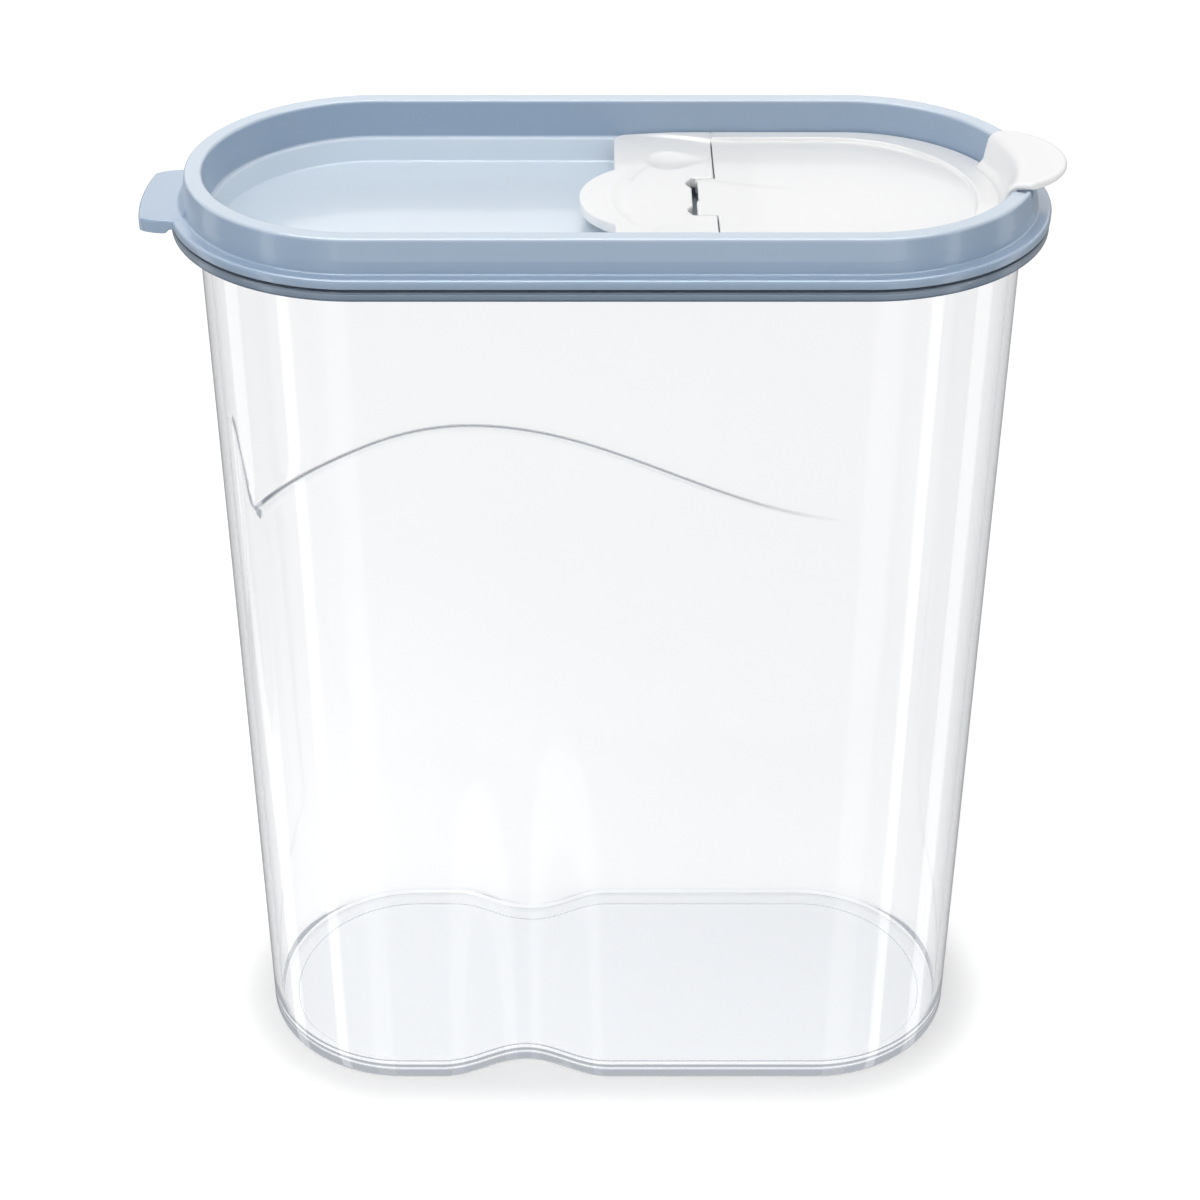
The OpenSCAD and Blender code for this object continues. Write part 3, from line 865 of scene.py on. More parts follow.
        ones = np.ones_like(tab)
        drop = (self.tab_t - self.flange_t) * tab_share + self.flange_skirt * (1 - tab_share)
        flange_edge = b.top_r + b.rim_out + self.flange_over
        drop = drop + self.tab_skirt * ease((tab - flange_edge - 1 * MM) / (1.5 * MM))
        fillet = 0.5 * MM + 1.9 * MM * tab_share
        bottom = flange_z - drop
        round_e = 0.75 * MM * ones
        flange_r, flange_h = [], []
        flange_r.append(np.minimum(tab - 1 * MM, lip_r + 4.5 * MM))
        flange_h.append(flange_z * ones)
        low_e = self.flange_low_edge
        flange_r.append(b.top_r + b.rim_out + 0.03 * MM + 0 * tab)
        flange_h.append(flange_z - 0.1 * MM + 0 * tab)
        flange_r.append(tab - low_e - 0.02 * MM - 0.5 * MM * tab_share)
        flange_h.append(bottom)
        for a in np.radians(np.linspace(-90, 0, 5)):
            flange_r.append(tab - low_e + low_e * np.cos(a))
            flange_h.append(bottom + low_e + low_e * np.sin(a))
        flange_r.append(tab)
        flange_h.append(flange_top - round_e - 0.1 * MM)
        for a in np.radians(np.linspace(0, 90, 6)):
            flange_r.append(tab - round_e + round_e * np.cos(a))
            flange_h.append(flange_top - round_e + round_e * np.sin(a))
        flange_r.append(tab - round_e - 0.12 * MM)
        flange_h.append(flange_top * ones)
        for a in np.radians(np.linspace(270, 180, 7)):
            flange_r.append(foot_r + fillet + fillet * np.cos(a))
            flange_h.append(flange_top + fillet + fillet * np.sin(a))
        flange_r, flange_h = np.array(flange_r), np.array(flange_h)

        def wide(points: np.ndarray) -> tuple[np.ndarray, np.ndarray]:
            """Repeat a fixed section on every column."""
            return points[:, :1] * ones, points[:, 1:] * ones

        (r0, z0), (r1, z1) = wide(inside), wide(crown)
        return np.concatenate([r0, flange_r, r1]), np.concatenate([z0, flange_h, z1])

    def build(self, finish: bpy.types.Material) -> bpy.types.Object:
        """Make the lid as one closed surface, from the hole's lower edge out and back to it.

        At the right end the crown dips for the thumb tab: each point over the flange sinks by its
        share of the crown's height.

        Args:
            finish: The blue finish.

        Returns:
            The piece.
        """
        path = self.columns
        cx, nx, ny = path.normals()
        count = len(cx)
        angle = np.where(cx < 0, np.arctan2(-ny, -nx), math.pi)
        angle = np.where(nx < 0, angle, math.pi)
        flange = self.body.top_r + self.body.rim_out + self.flange_over
        tab = np.where(nx < 0, self.tab_radius(np.where(nx < 0, angle, 1.5)), flange)
        share = ease((tab - flange) / (3 * MM))
        r, z = self.section(tab, share)

        y = ny * r
        channel = self.body.body_h + self.body.lip_h + self.fit
        floor = self.ledge_z + 1.5 * MM
        dip = (self.crown_z - channel - 1.2 * MM) * ease((self.notch_w / 2 + 0.5 * MM - np.abs(y)) / (1.2 * MM))
        dip = np.where(nx > 0, dip, 0.0)
        over = np.clip((z - floor) / (self.crown_z - self.crown_round - floor), 0, 1)
        solid = np.where(nx > 0, ease((36 - np.degrees(np.abs(np.arctan2(ny, nx)))) / 5), 0.0)
        ceiling = np.minimum(z, channel + (z - channel) * (1 - solid))
        low_side = (z > channel) & (np.arange(len(z))[:, None] < 30)
        z = np.where(low_side, ceiling, z - np.where(low_side, 0, dip * over))
        ring = path.carry(r, z)

        def hoop(grow: float, height: float) -> np.ndarray:
            """One row round the pouring hole."""
            hx, hy = self.hole(grow)
            return np.stack([hx, hy, np.full(count, height)], axis=-1)[None]

        under, top = self.panel_z - self.panel_t, self.panel_z + self.collar_h
        e, t = 0.3 * MM, self.collar_t
        collar = [hoop(t + 0.3 * MM, self.panel_z), hoop(t + 0.05 * MM, self.panel_z + 0.1 * MM),
                  hoop(t, self.panel_z + 0.35 * MM), hoop(t, top - e)]
        collar += [hoop(t - e + e * math.cos(a), top - e + e * math.sin(a)) for a in (0.5, 1.1, math.pi / 2)]
        collar += [hoop(e - e * math.cos(a), top - e + e * math.sin(a)) for a in (math.pi / 2, 1.1, 0.5, 0)]
        collar += [hoop(0, under + e)]
        collar += [hoop(e, under)]
        rows = np.concatenate([hoop(3 * MM, under), ring, hoop(t + 1.5 * MM, self.panel_z), *collar])
        faces = ring_faces(len(rows), count, closed_rows=True).tolist()
        piece = make_piece("blue_lid", rows, faces)
        piece.data.materials.append(finish)
        seat(piece, Body.LID, Slot.LID, "lid")
        return piece


# ----------------------------------------------------------------------------------- white parts


def round_over(depth: np.ndarray, radius: float) -> np.ndarray:
    """Height lost to a rounded edge.

    Args:
        depth: Distance inside the edge.
        radius: Radius of the rounding.

    Returns:
        radius less the height of a quarter circle, and 0 further in than the radius.
    """
    u = np.clip(radius - depth, 0.0, radius)
    return radius - np.sqrt(radius**2 - u**2)


def from_edge(points: np.ndarray, loop: np.ndarray) -> np.ndarray:
    """Distance of points from a closed outline.

    Args:
        points: x and y of each point, any shape by 2.
        loop: x and y of the outline's corners.

    Returns:
        Distances, in the points' shape.
    """
    start, way = loop, np.roll(loop, -1, axis=0) - loop
    square = np.maximum((way**2).sum(axis=1), 1e-18)
    off = points[..., None, :] - start
    share = np.clip((off * way).sum(axis=-1) / square, 0.0, 1.0)
    return np.sqrt(((off - share[..., None] * way) ** 2).sum(axis=-1)).min(axis=-1)


def closer_at_ends(length: np.ndarray, inner: int, rim: tuple[float, ...]) -> np.ndarray:
    """Places along lines: fixed distances from both ends, and even steps between them.

    Args:
        length: Lengths of the lines.
        inner: Number of even steps.
        rim: Distances from each end, from 0 up.

    Returns:
        Places, lines by points.
    """
    near = np.array(rim)[None, :] + 0 * length[:, None]
    even = rim[-1] + (length[:, None] - 2 * rim[-1]) * np.linspace(0, 1, inner + 1)[None, 1:-1]
    return np.concatenate([near, even, length[:, None] - near[:, ::-1]], axis=1)


def slab_faces(ribs: int, points: int) -> np.ndarray:
    """Quads of a closed slab whose ribs are rings: top points, then under points backwards.

    Args:
        ribs: Number of ribs.
        points: Number of points on top of a rib.

    Returns:
        Four indices a face, with the two end faces as strips.
    """
    i = np.arange(points - 1)
    strip = np.stack([i, i + 1, 2 * points - 2 - i, 2 * points - 1 - i], axis=-1)
    last = strip[:, ::-1] + (ribs - 1) * 2 * points
    return np.concatenate([ring_faces(ribs, 2 * points), strip, last])


def slab(top: np.ndarray, under: np.ndarray) -> np.ndarray:
    """Join a top and an under sheet into rings, one a rib."""
    return np.concatenate([top, under[:, ::-1]], axis=1)


RIM = tuple(d * MM for d in (0.0, 0.03, 0.09, 0.18, 0.3, 0.45, 0.7, 1.1))


@dataclass
class HingePlate:
    """The white plate that is clipped into the lid: a finger lobe, two dimples, ears and hooks."""

    lid: Lid
    seam_x: float = 25.35 * MM
    seam_gap: float = 0.3 * MM
    length: float = 24.2 * MM
    thick: float = 2.5 * MM
    border_t: float = 1.4 * MM
    border_step: float = 0.7 * MM
    border_w: float = 4.8 * MM
    side_gap: float = 0.35 * MM
    corner: float = 3.5 * MM
    lobe_reach: float = 8.5 * MM
    lobe_w: float = 32 * MM
    tongue_w: float = 21 * MM
    tongue_gap: float = 0.3 * MM
    axis_back: float = 2.8 * MM
    axis_drop: float = 1.5 * MM
    pin_r: float = 0.8 * MM
    pin_l: float = 2.6 * MM
    nook: float = 3 * MM
    nook_d: float = 1.2 * MM
    dimple_w: float = 11.2 * MM
    dimple_d: float = 0.9 * MM
    dimple_y: float = 21.5 * MM
    dimple_run: float = 9.9 * MM
    groove_d: float = 0.45 * MM
    groove_bend: float = 28 * MM
    groove_in: float = 1.1 * MM
    groove_soft: float = 4 * MM
    edge: float = 0.45 * MM
    hook_y: float = 28 * MM
    hook_w: float = 6 * MM
    hook_t: float = 1.8 * MM
    barb: float = 0.8 * MM

    @property
    def border_top(self) -> float:
        """Height of the border."""
        return self.lid.ledge_z + self.border_t

    @property
    def face_z(self) -> float:
        """Height of the plate's face."""
        return self.border_top - self.border_step

    @property
    def half_w(self) -> float:
        """Half of the plate's width."""
        return self.lid.recess_r - self.side_gap

    @property
    def right(self) -> float:
        """Place of the plate's edge at the seam."""
        return self.seam_x - self.seam_gap / 2

    @property
    def left(self) -> float:
        """Place of the plate's left edge."""
        return self.right - self.length

    @property
    def slot_half(self) -> float:
        """Half of the width of the slot for the tongue."""
        return self.tongue_w / 2 + self.tongue_gap

    @property
    def axis(self) -> tuple[float, float]:
        """x and z of the hinge axis."""
        return self.seam_x + self.seam_gap / 2 - self.axis_back, self.face_z - self.axis_drop

    def left_edge(self, y: np.ndarray) -> np.ndarray:
        """Left end of each rib: the straight edge with round corners, or the lobe's circle."""
        y = np.abs(y)
        past = np.clip(y - (self.half_w - self.corner), 0, self.corner)
        plain = self.left + self.corner - np.sqrt(self.corner**2 - past**2)
        bulge = ((self.lobe_w / 2) ** 2 + self.lobe_reach**2) / (2 * self.lobe_reach)
        lobe = self.left - self.lobe_reach + bulge - np.sqrt(np.maximum(bulge**2 - y**2, 0))
        return soft_min(plain, lobe, 0.5 * MM)

    def right_edge(self, y: np.ndarray) -> np.ndarray:
        """Right end of each rib: the seam, or the slot with a nook at each of its ends."""
        y = np.abs(y)
        pocket = self.axis[0] - self.axis_back - self.tongue_gap
        off = y - (self.slot_half - self.nook)
        inner = np.sqrt(np.maximum(self.nook**2 - off**2, 0))
        slot = soft_min(0 * y + pocket, pocket + self.nook - self.nook_d - inner, 0.5 * MM)
        turn = 0.9 * MM
        past = np.clip(turn - (y - self.slot_half), 0, turn)
        seam = self.right + 0.5 * self.seam_gap * self.flush(y)
        return np.where(y < self.slot_half, slot, seam - turn + np.sqrt(turn**2 - past**2))

    def flush(self, y: np.ndarray) -> np.ndarray:
        """Run from 0 to 1 where the seam passes into the border, whose two halves meet flush."""
        return ease((np.abs(y) - self.half_w + self.border_w + 0.9 * MM) / (0.6 * MM))

    def face(self, x: np.ndarray, y: np.ndarray) -> np.ndarray:
        """Height of the plate's top before its edges are rounded.

        The border swells along the two sides towards the seam. A dimple is a bowl that runs on to a
        tip, d (w(x)^2 - v^2) / w^2 deep at v off its middle line. The groove is a parabola across an
        arc, and gets shallower to both of its ends.

        Args:
            x: Places along the plate.
            y: Places across it.

        Returns:
            Heights.
        """
        y = np.abs(y)
        run = np.clip((x - self.left) / self.length, 0, 1)
        inner = self.half_w - 1.2 * MM - 4.8 * MM * run**2
        border = self.border_step * ease((y - inner) / (1.1 * MM)) * ease(run / 0.7)
        w = self.dimple_w / 2
        u = x - (self.right - 0.8 * MM - self.dimple_run)
        touch = w * w / self.dimple_run
        straight = (self.dimple_run - u) * w / math.sqrt(self.dimple_run**2 - w * w)
        wide = np.where(u < touch, w * w - u * u, np.maximum(straight, 0) ** 2)
        dimple = self.dimple_d * np.maximum(wide - (y - self.dimple_y) ** 2, 0) / w**2
        dx = self.left + self.groove_in + self.groove_bend - x
        angle = np.arctan2(y, dx)
        fade = 1 - (1 - np.cos(angle)) / (1 - math.cos(math.pi / 4))
        off = np.hypot(dx, y) - self.groove_bend
        groove = np.maximum(self.groove_d * fade - off**2 / (2 * self.groove_soft), 0)
        return self.face_z + border - dimple - groove

    def plate(self) -> tuple[np.ndarray, np.ndarray]:
        """Work out the plate's points and faces."""
        def ribs(start: float, end: float, count: int) -> np.ndarray:
            """Places of ribs between two edges, closer to both."""
            return start + closer_at_ends(np.array([end - start]), count, RIM)[0]

        fork = ribs(self.slot_half + 0.005 * MM, self.half_w, 54)
        step = np.array([self.half_w - 1.5 * MM, self.half_w - 1.6 * MM])
        fork = np.sort(np.concatenate([fork, step]))
        y = np.concatenate([-fork[::-1], ribs(-self.slot_half, self.slot_half, 44), fork])
        x0, x1 = self.left_edge(y), self.right_edge(y)
        x = x0[:, None] + closer_at_ends(x1 - x0, 52, RIM)
        wide = y[:, None] + 0 * x
        spot = np.stack([x, wide], axis=-1)
        loop = np.concatenate([spot[:, 0], spot[-1, 1:], spot[-2::-1, -1], spot[0, -2:0:-1]])
        depth = from_edge(spot, loop)
        at_seam = self.flush(wide) * (x > self.right - 1 * MM) * (np.abs(wide) < self.half_w - self.edge)
        drop = round_over(depth, self.edge) * (1 - 0.97 * at_seam)
        top = np.concatenate([spot, (self.face(x, wide) - drop)[..., None]], axis=-1)
        flange = np.abs(wide) > self.half_w - 1.55 * MM
        low = np.where(flange, self.lid.ledge_z, self.face_z - self.thick)
        under = np.concatenate([spot, low[..., None]], axis=-1)
        return slab(top, under), slab_faces(len(y), x.shape[1])

    def hook(self, x: float, side: int) -> tuple[np.ndarray, np.ndarray]:
        """Points and faces of a hook that snaps through the panel, a leg with a barb outside.

        Args:
            x: Middle of the hook.
            side: 1 at the back, -1 at the front.
        """
        low = self.lid.panel_z - self.lid.panel_t
        t, b = self.hook_t / 2, self.barb
        outer = [(t, self.face_z - 1 * MM), (t, low - 0.1 * MM), (t + b, low - 0.1 * MM),
                 (t + b, low - 0.6 * MM), (t, low - 1.8 * MM)]
        inner = [(-t, z) for z in (self.face_z - 1 * MM, low - 0.1 * MM, low - 0.3 * MM, low - 0.6 * MM,
                                   low - 1.8 * MM)]
        ribs = []
        for end in (-self.hook_w / 2, self.hook_w / 2):
            ring = outer + inner[::-1]
            ribs.append([(x + end, side * (self.hook_y + y), z) for y, z in ring])
        return np.array(ribs), slab_faces(2, len(outer))

    def build(self, finish: bpy.types.Material) -> list[bpy.types.Object]:
        """Make the plate, its ears, its skirt and its four hooks.

        Args:
            finish: The white finish.

        Returns:
            The pieces.
        """
        axis_x, _ = self.axis
        ear_l, barrel = 4.2 * MM, 1.9 * MM
        low = self.face_z - self.thick - 1.5 * MM
        made = {"plate": self.plate()}
        for side, word in ((1, "back"), (-1, "front")):
            y = sorted((side * (self.slot_half + 0.01 * MM), side * (self.slot_half + ear_l)))
            made[f"ear_{word}"] = box((axis_x - barrel, self.right - 0.05 * MM), tuple(y), (low, low + self.thick))
            for x, place in ((self.left + 5 * MM, "left"), (self.right - 5.2 * MM, "right")):
                made[f"hook_{place}_{word}"] = self.hook(x, side)
        reach = self.hook_y - self.hook_w
        made["skirt"] = box((self.left + 2 * MM, self.left + 3.4 * MM), (-reach, reach),
                            (self.lid.panel_z, self.face_z - 1 * MM))
        pieces = []
        for name, (points, faces) in made.items():
            piece = make_piece(name, points, faces.tolist())
            piece.data.materials.append(finish)
            seat(piece, Body.LID, Slot.WHITE, "hinge_plate")
            pieces.append(piece)
        return pieces


def box(xs: tuple[float, float], ys: tuple[float, float], zs: tuple[float, float],
        edge: float = 0.25 * MM) -> tuple[np.ndarray, np.ndarray]:
    """Points and faces of a box with rounded long edges, as a tube along x with closed ends.

    Args:
        xs: Both ends along x.
        ys: Both sides.
        zs: Bottom and top.
        edge: Radius of its edges.

    Returns:
        Points and faces.
    """
    (y0, y1), (z0, z1) = ys, zs
    side = arc(y1 - edge, z0 + edge, edge, -90, 0, 3) + arc(y1 - edge, z1 - edge, edge, 0, 90, 3)
    other = [(y0 + y1 - y, z) for y, z in side]
    ring = side + other[::-1]
    points = np.array([[(x, y, z) for y, z in ring] for x in xs])
    return points, slab_faces(2, len(side))


@dataclass
class Flap:
    """The flip-up flap: a sunk middle, a border, a tongue on the hinge, a plug and a thumb tab."""

    plate: HingePlate
    thick: float = 1.4 * MM
    edge: float = 0.4 * MM
    slope: float = 0.8 * MM
    bead: float = 0.14 * MM
    bead_w: float = 0.4 * MM
    tongue_back: float = 2.1 * MM
    plug_gap: float = 0.35 * MM
    thumb_w: float = 32.4 * MM
    thumb_t: float = 1.8 * MM
    thumb_rise: float = 1.5 * MM
    thumb_reach: float = 7.2 * MM
    thumb_bow: float = 17.7 * MM

    @property
    def lid(self) -> Lid:
        """The lid that the flap closes."""
        return self.plate.lid

    @property
    def centre(self) -> float:
        """x of the centre of the round end."""
        return self.lid.body.half

    @property
    def seam(self) -> float:
        """Place of the flap's edge at the seam."""
        return self.plate.seam_x + self.plate.seam_gap / 2

    def outline(self) -> np.ndarray:
        """Outline of the flap and its tongue, counter-clockwise from the front of the round end."""
        c, r, x = self.centre, self.plate.half_w, self.seam
        t, tip = self.plate.tongue_w / 2, self.plate.axis[0] - self.tongue_back
        e, inner, outer = 0.5 * MM, 0.6 * MM, 0.9 * MM
        run = [(v, r) for v in np.linspace(c, x + e, 30)[1:-1]]
        across = np.linspace(r - e, t + inner, 60)[1:-1]
        close = 0.5 * self.plate.seam_gap * self.plate.flush(across) - 0.015 * MM
        seam = list(zip(x - np.maximum(close, 0), across))
        side = [(v, t) for v in np.linspace(x - inner, tip + outer, 8)[1:-1]]
        half = run + arc(x + e, r - e, e, 90, 180, 5) + seam
        half += arc(x - inner, t + inner, inner, 0, -90, 5) + side + arc(tip + outer, t - outer, outer, 90, 180, 6)
        nick = 0.5 * MM
        front = [(px, -py) for px, py in half[::-1]]
        tongue = [(tip + nick * ease(np.array((v + 3 * MM) / (0.8 * MM))), v)
                  for v in np.linspace(t - outer, outer - t, 40)[1:-1]]
        end = arc(c, 0, r, -90, 90, 150)
        return np.array(end + half + tongue + front)

    def top_z(self, x: np.ndarray, y: np.ndarray) -> np.ndarray:
        """Height of the flap's top: the sunk middle, the slope and the border round it."""
        centre, reach = self.lid.pour_c, self.plate.half_w - self.plate.border_w
        off = np.hypot(np.maximum(x - centre, 0), y) - reach
        bead = self.bead * np.exp(-(((off - self.slope) / self.bead_w) ** 2))
        foot = self.bead * np.exp(-(((off + 0.1 * MM) / self.bead_w) ** 2))
        return self.plate.face_z + self.plate.border_step * ease(off / self.slope) + bead - foot

    def skin(self) -> tuple[np.ndarray, np.ndarray]:
        """Points and faces of the flap's skin, on spokes from the round end's centre.

        Each spoke runs through the sunk middle, closely over the slope of the border, and at fixed
        distances inside the outline over its rounded edge, then down the side and back underneath,
        straight towards the centre.
        """
        loop = self.outline()
        way = np.roll(loop, -1, axis=0) - np.roll(loop, 1, axis=0)
        normal = np.stack([way[:, 1], -way[:, 0]], axis=-1) / np.hypot(*way.T)[:, None]
        middle = np.array([self.centre, 0.0])
        rim = np.array(RIM[5::-1])
        held_in = loop - rim[0] * normal - middle
        length = np.hypot(*held_in.T)
        dx, dy = (held_in / length[:, None]).T
        inward = (loop - middle) / np.hypot(*(loop - middle).T)[:, None]
        reach = self.plate.half_w - self.plate.border_w
        shift = self.centre - self.lid.pour_c
        round_part = -shift * dx + np.sqrt(np.maximum(reach**2 - (shift * dy) ** 2, 0))
        ridge = np.where(shift + round_part * dx >= 0, round_part, reach / np.maximum(np.abs(dy), 1e-9))
        ridge = np.minimum(ridge, length - 1.8 * MM)
        share = np.linspace(0, 1, 41)[1:, None]
        far = np.concatenate([
            (ridge - 0.2 * MM) * share,
            ridge - 0.2 * MM + (self.slope + 0.4 * MM) * np.linspace(0, 1, 11)[1:, None],
            ridge + self.slope + 0.2 * MM
            + (length - ridge - self.slope - 0.2 * MM) * np.linspace(0, 1, 6)[1:-1, None],
        ])
        inner = middle + far[..., None] * np.stack([dx, dy], axis=-1)
        outer = loop - rim[:, None, None] * normal
        spot = np.concatenate([inner, outer])
        drop = np.concatenate([np.zeros(len(far)), round_over(rim, self.edge)])[:, None]
        across = np.abs(spot[..., 1])
        at_seam = self.plate.flush(across) * (spot[..., 0] < self.seam + 1 * MM)
        at_seam = at_seam * (across < self.plate.half_w - self.edge)
        top = self.top_z(spot[..., 0], spot[..., 1]) - drop * (1 - 0.97 * at_seam)
        low = self.plate.face_z - self.thick
        over = (np.abs(loop[:, 1]) > self.plate.half_w - 1.5 * MM) | (loop[:, 0] > self.centre)
        rest = np.where(over, self.lid.ledge_z + 0.2 * MM, low + 0.04 * MM)
        back = [(0.0, rest + 0.1 * MM), (0.1 * MM, rest), (1.5 * MM, rest), (1.55 * MM, 0 * rest + low),
                (3 * MM, 0 * rest + low)]
        under = np.array([loop - d * inward for d, _ in back])
        spot = np.concatenate([spot, under, middle + (under[-1:] - middle) * 0.5])
        z = np.concatenate([top, np.array([h for _, h in back]), 0 * rest[None] + low])
        points = np.concatenate([spot, z[..., None]], axis=-1)
        rows, count = points.shape[:2]
        poles = [(*middle, self.plate.face_z), (*middle, low)]
        last = (rows - 1) * count
        j = np.arange(count)
        fans = [np.stack([j, (j + 1) % count, 0 * j + rows * count], axis=-1),
                np.stack([last + (j + 1) % count, last + j, 0 * j + rows * count + 1], axis=-1)]
        faces = ring_faces(rows, count).tolist() + fans[0].tolist() + fans[1].tolist()
        return np.concatenate([points.reshape(-1, 3), poles]), faces

    def thumb(self) -> tuple[np.ndarray, np.ndarray]:
        """Points and faces of the riser and the thumb tab, as a bent ribbon with a round edge.

        The ribbon's middle runs up the riser, over a bend and out to the tip. Its places are turned
        about the round end's centre at the riser and change to the tip's own circle further out.
        """
        lid, h = self.lid, self.thumb_t / 2
        top = lid.crown_z + self.thumb_rise - h
        tip = lid.body.top_r + lid.body.lip_out + lid.fit + lid.skin + self.thumb_reach
        foot_r, head_r, bend = lid.recess_r - 1.5 * MM, lid.recess_r - 0.35 * MM, 2.2 * MM
        foot_z = self.plate.face_z - 0.4 * MM
        rise = [(foot_r + (head_r - foot_r) * s, foot_z + (top - bend - foot_z) * s)
                for s in np.linspace(0, 1, 14)[:-1]]
        curve = rise + arc(head_r + bend, top - bend, bend, 180, 90, 10)
        start = head_r + bend
        out = tip - start - closer_at_ends(np.array([tip - start]), 26, RIM)[0][::-1]
        out = (start + np.sort(tip - start - out))[1:]
        curve = np.array(curve + [(r, top) for r in out])
        r, z = curve.T
        way = np.gradient(curve, axis=0)
        normal = np.stack([-way[:, 1], way[:, 0]], axis=-1) / np.hypot(*way.T)[:, None]
        normal[len(rise) + 10:] = (0, 1)
        width = self.thumb_w / 2
        y = -width + closer_at_ends(np.array([2 * width]), 46, RIM)[0]
        mix = np.clip((r - start) / (tip - start), 0, 1)
        beyond = tip - self.thumb_bow

        def place(radius: np.ndarray) -> np.ndarray:
            """x of each point: on the end's circle, changing to the tip's."""
            own = np.sqrt(np.minimum(radius, start)[:, None] ** 2 - y**2)
            far = beyond + np.sqrt(self.thumb_bow**2 - y**2)
            return self.centre + own * (1 - mix[:, None]) + far * mix[:, None]

        x = place(r)
        edge_x = x[-1]
        side = np.minimum(width - np.abs(y)[None, :], edge_x - x)
        swell = np.sqrt(np.maximum(1 - (1 - np.minimum(side / h, 1)) ** 2, 0.004))
        flare = 1.5 * MM * ease(1 - (z - self.plate.face_z) / (3.2 * MM))[:, None]
        sides = []
        for sign, grow in ((1, flare), (-1, 0 * flare)):
            push = sign * (h * swell + grow * np.minimum(swell, 1))
            sides.append(np.stack([x + normal[:, :1] * push, y + 0 * x, z[:, None] + normal[:, 1:] * push], axis=-1))
        front, rear = (s.transpose(1, 0, 2) for s in sides)
        return slab(front, rear), slab_faces(len(y), len(r))

    def plug(self) -> tuple[np.ndarray, np.ndarray]:
        """Points and faces of the plug, a ring that stands in the pouring hole."""
        lid, e = self.lid, 0.3 * MM
        low = lid.panel_z - lid.panel_t + 0.4 * MM
        high = self.plate.face_z - self.thick + 0.3 * MM
        t = lid.collar_t
        section = [(0, high), (0, low + e), (-0.1 * MM, low + 0.1 * MM), (-e, low),
                   (e - t, low), (0.1 * MM - t, low + 0.1 * MM), (-t, low + e), (-t, high)]
        rows = [lid.hole(grow - self.plug_gap) for grow, _ in section]
        points = np.array([np.stack([hx, hy, 0 * hx + z], axis=-1) for (hx, hy), (_, z) in zip(rows, section)])
        return points, ring_faces(len(section), points.shape[1], closed_rows=True)

    def barrel(self) -> tuple[np.ndarray, np.ndarray]:
        """Points and faces of the hinge's barrel with a pin at each end."""
        x, z = self.plate.axis
        pin, reach = self.plate.pin_r, self.plate.tongue_w / 2
        far = self.plate.slot_half + self.plate.pin_l
        r = self.plate.axis_drop - 0.05 * MM
        line = [(-far, pin - 0.15 * MM), (-far + 0.15 * MM, pin), (-reach, pin), (-reach, r - 0.15 * MM),
                (-reach + 0.15 * MM, r)]
        line += [(-y, k) for y, k in line[::-1]]
        turn = np.radians(np.arange(0, 360, 11.25))
        points = np.array([[(x + k * math.cos(a), y, z + k * math.sin(a)) for a in turn] for y, k in line])
        ends = [list(range(len(turn))), [k + len(turn) * (len(line) - 1) for k in range(len(turn))][::-1]]
        return points, ring_faces(len(line), len(turn)).tolist() + ends

    def build(self, finish: bpy.types.Material) -> list[bpy.types.Object]:
        """Make the skin, the thumb tab, the plug and the hinge's barrel.

        Args:
            finish: The white finish.

        Returns:
            The pieces.
        """
        made = {"flap_skin": self.skin(), "thumb_tab": self.thumb(), "plug": self.plug(), "barrel": self.barrel()}
        pieces = []
        for name, (points, faces) in made.items():
            piece = make_piece(name, points, [list(f) for f in faces])
            piece.data.materials.append(finish)
            seat(piece, Body.FLAP, Slot.WHITE, "flap")
            pieces.append(piece)
        return pieces


# ---------------------------------------------------------------------------------------- studio


@dataclass(frozen=True)
class Softbox:
    """A rectangular lamp that faces a point."""

    name: str
    at: tuple[float, float, float]
    towards: tuple[float, float, float]
    width: float
    height: float
    watts: float

    def place(self) -> None:
        """Add the lamp to the scene."""
        lamp = bpy.data.lights.new(self.name, "AREA")
        lamp.shape = "RECTANGLE"
        lamp.size, lamp.size_y = self.width, self.height
        lamp.energy = self.watts
        box = bpy.data.objects.new(self.name, lamp)
        bpy.context.scene.collection.objects.link(box)
        box.location = self.at
        aim = np.array(self.towards) - np.array(self.at)
        box.rotation_euler = (
            math.atan2(math.hypot(aim[0], aim[1]), -aim[2]),
            0.0,
            math.atan2(aim[1], aim[0]) - math.pi / 2,
        )


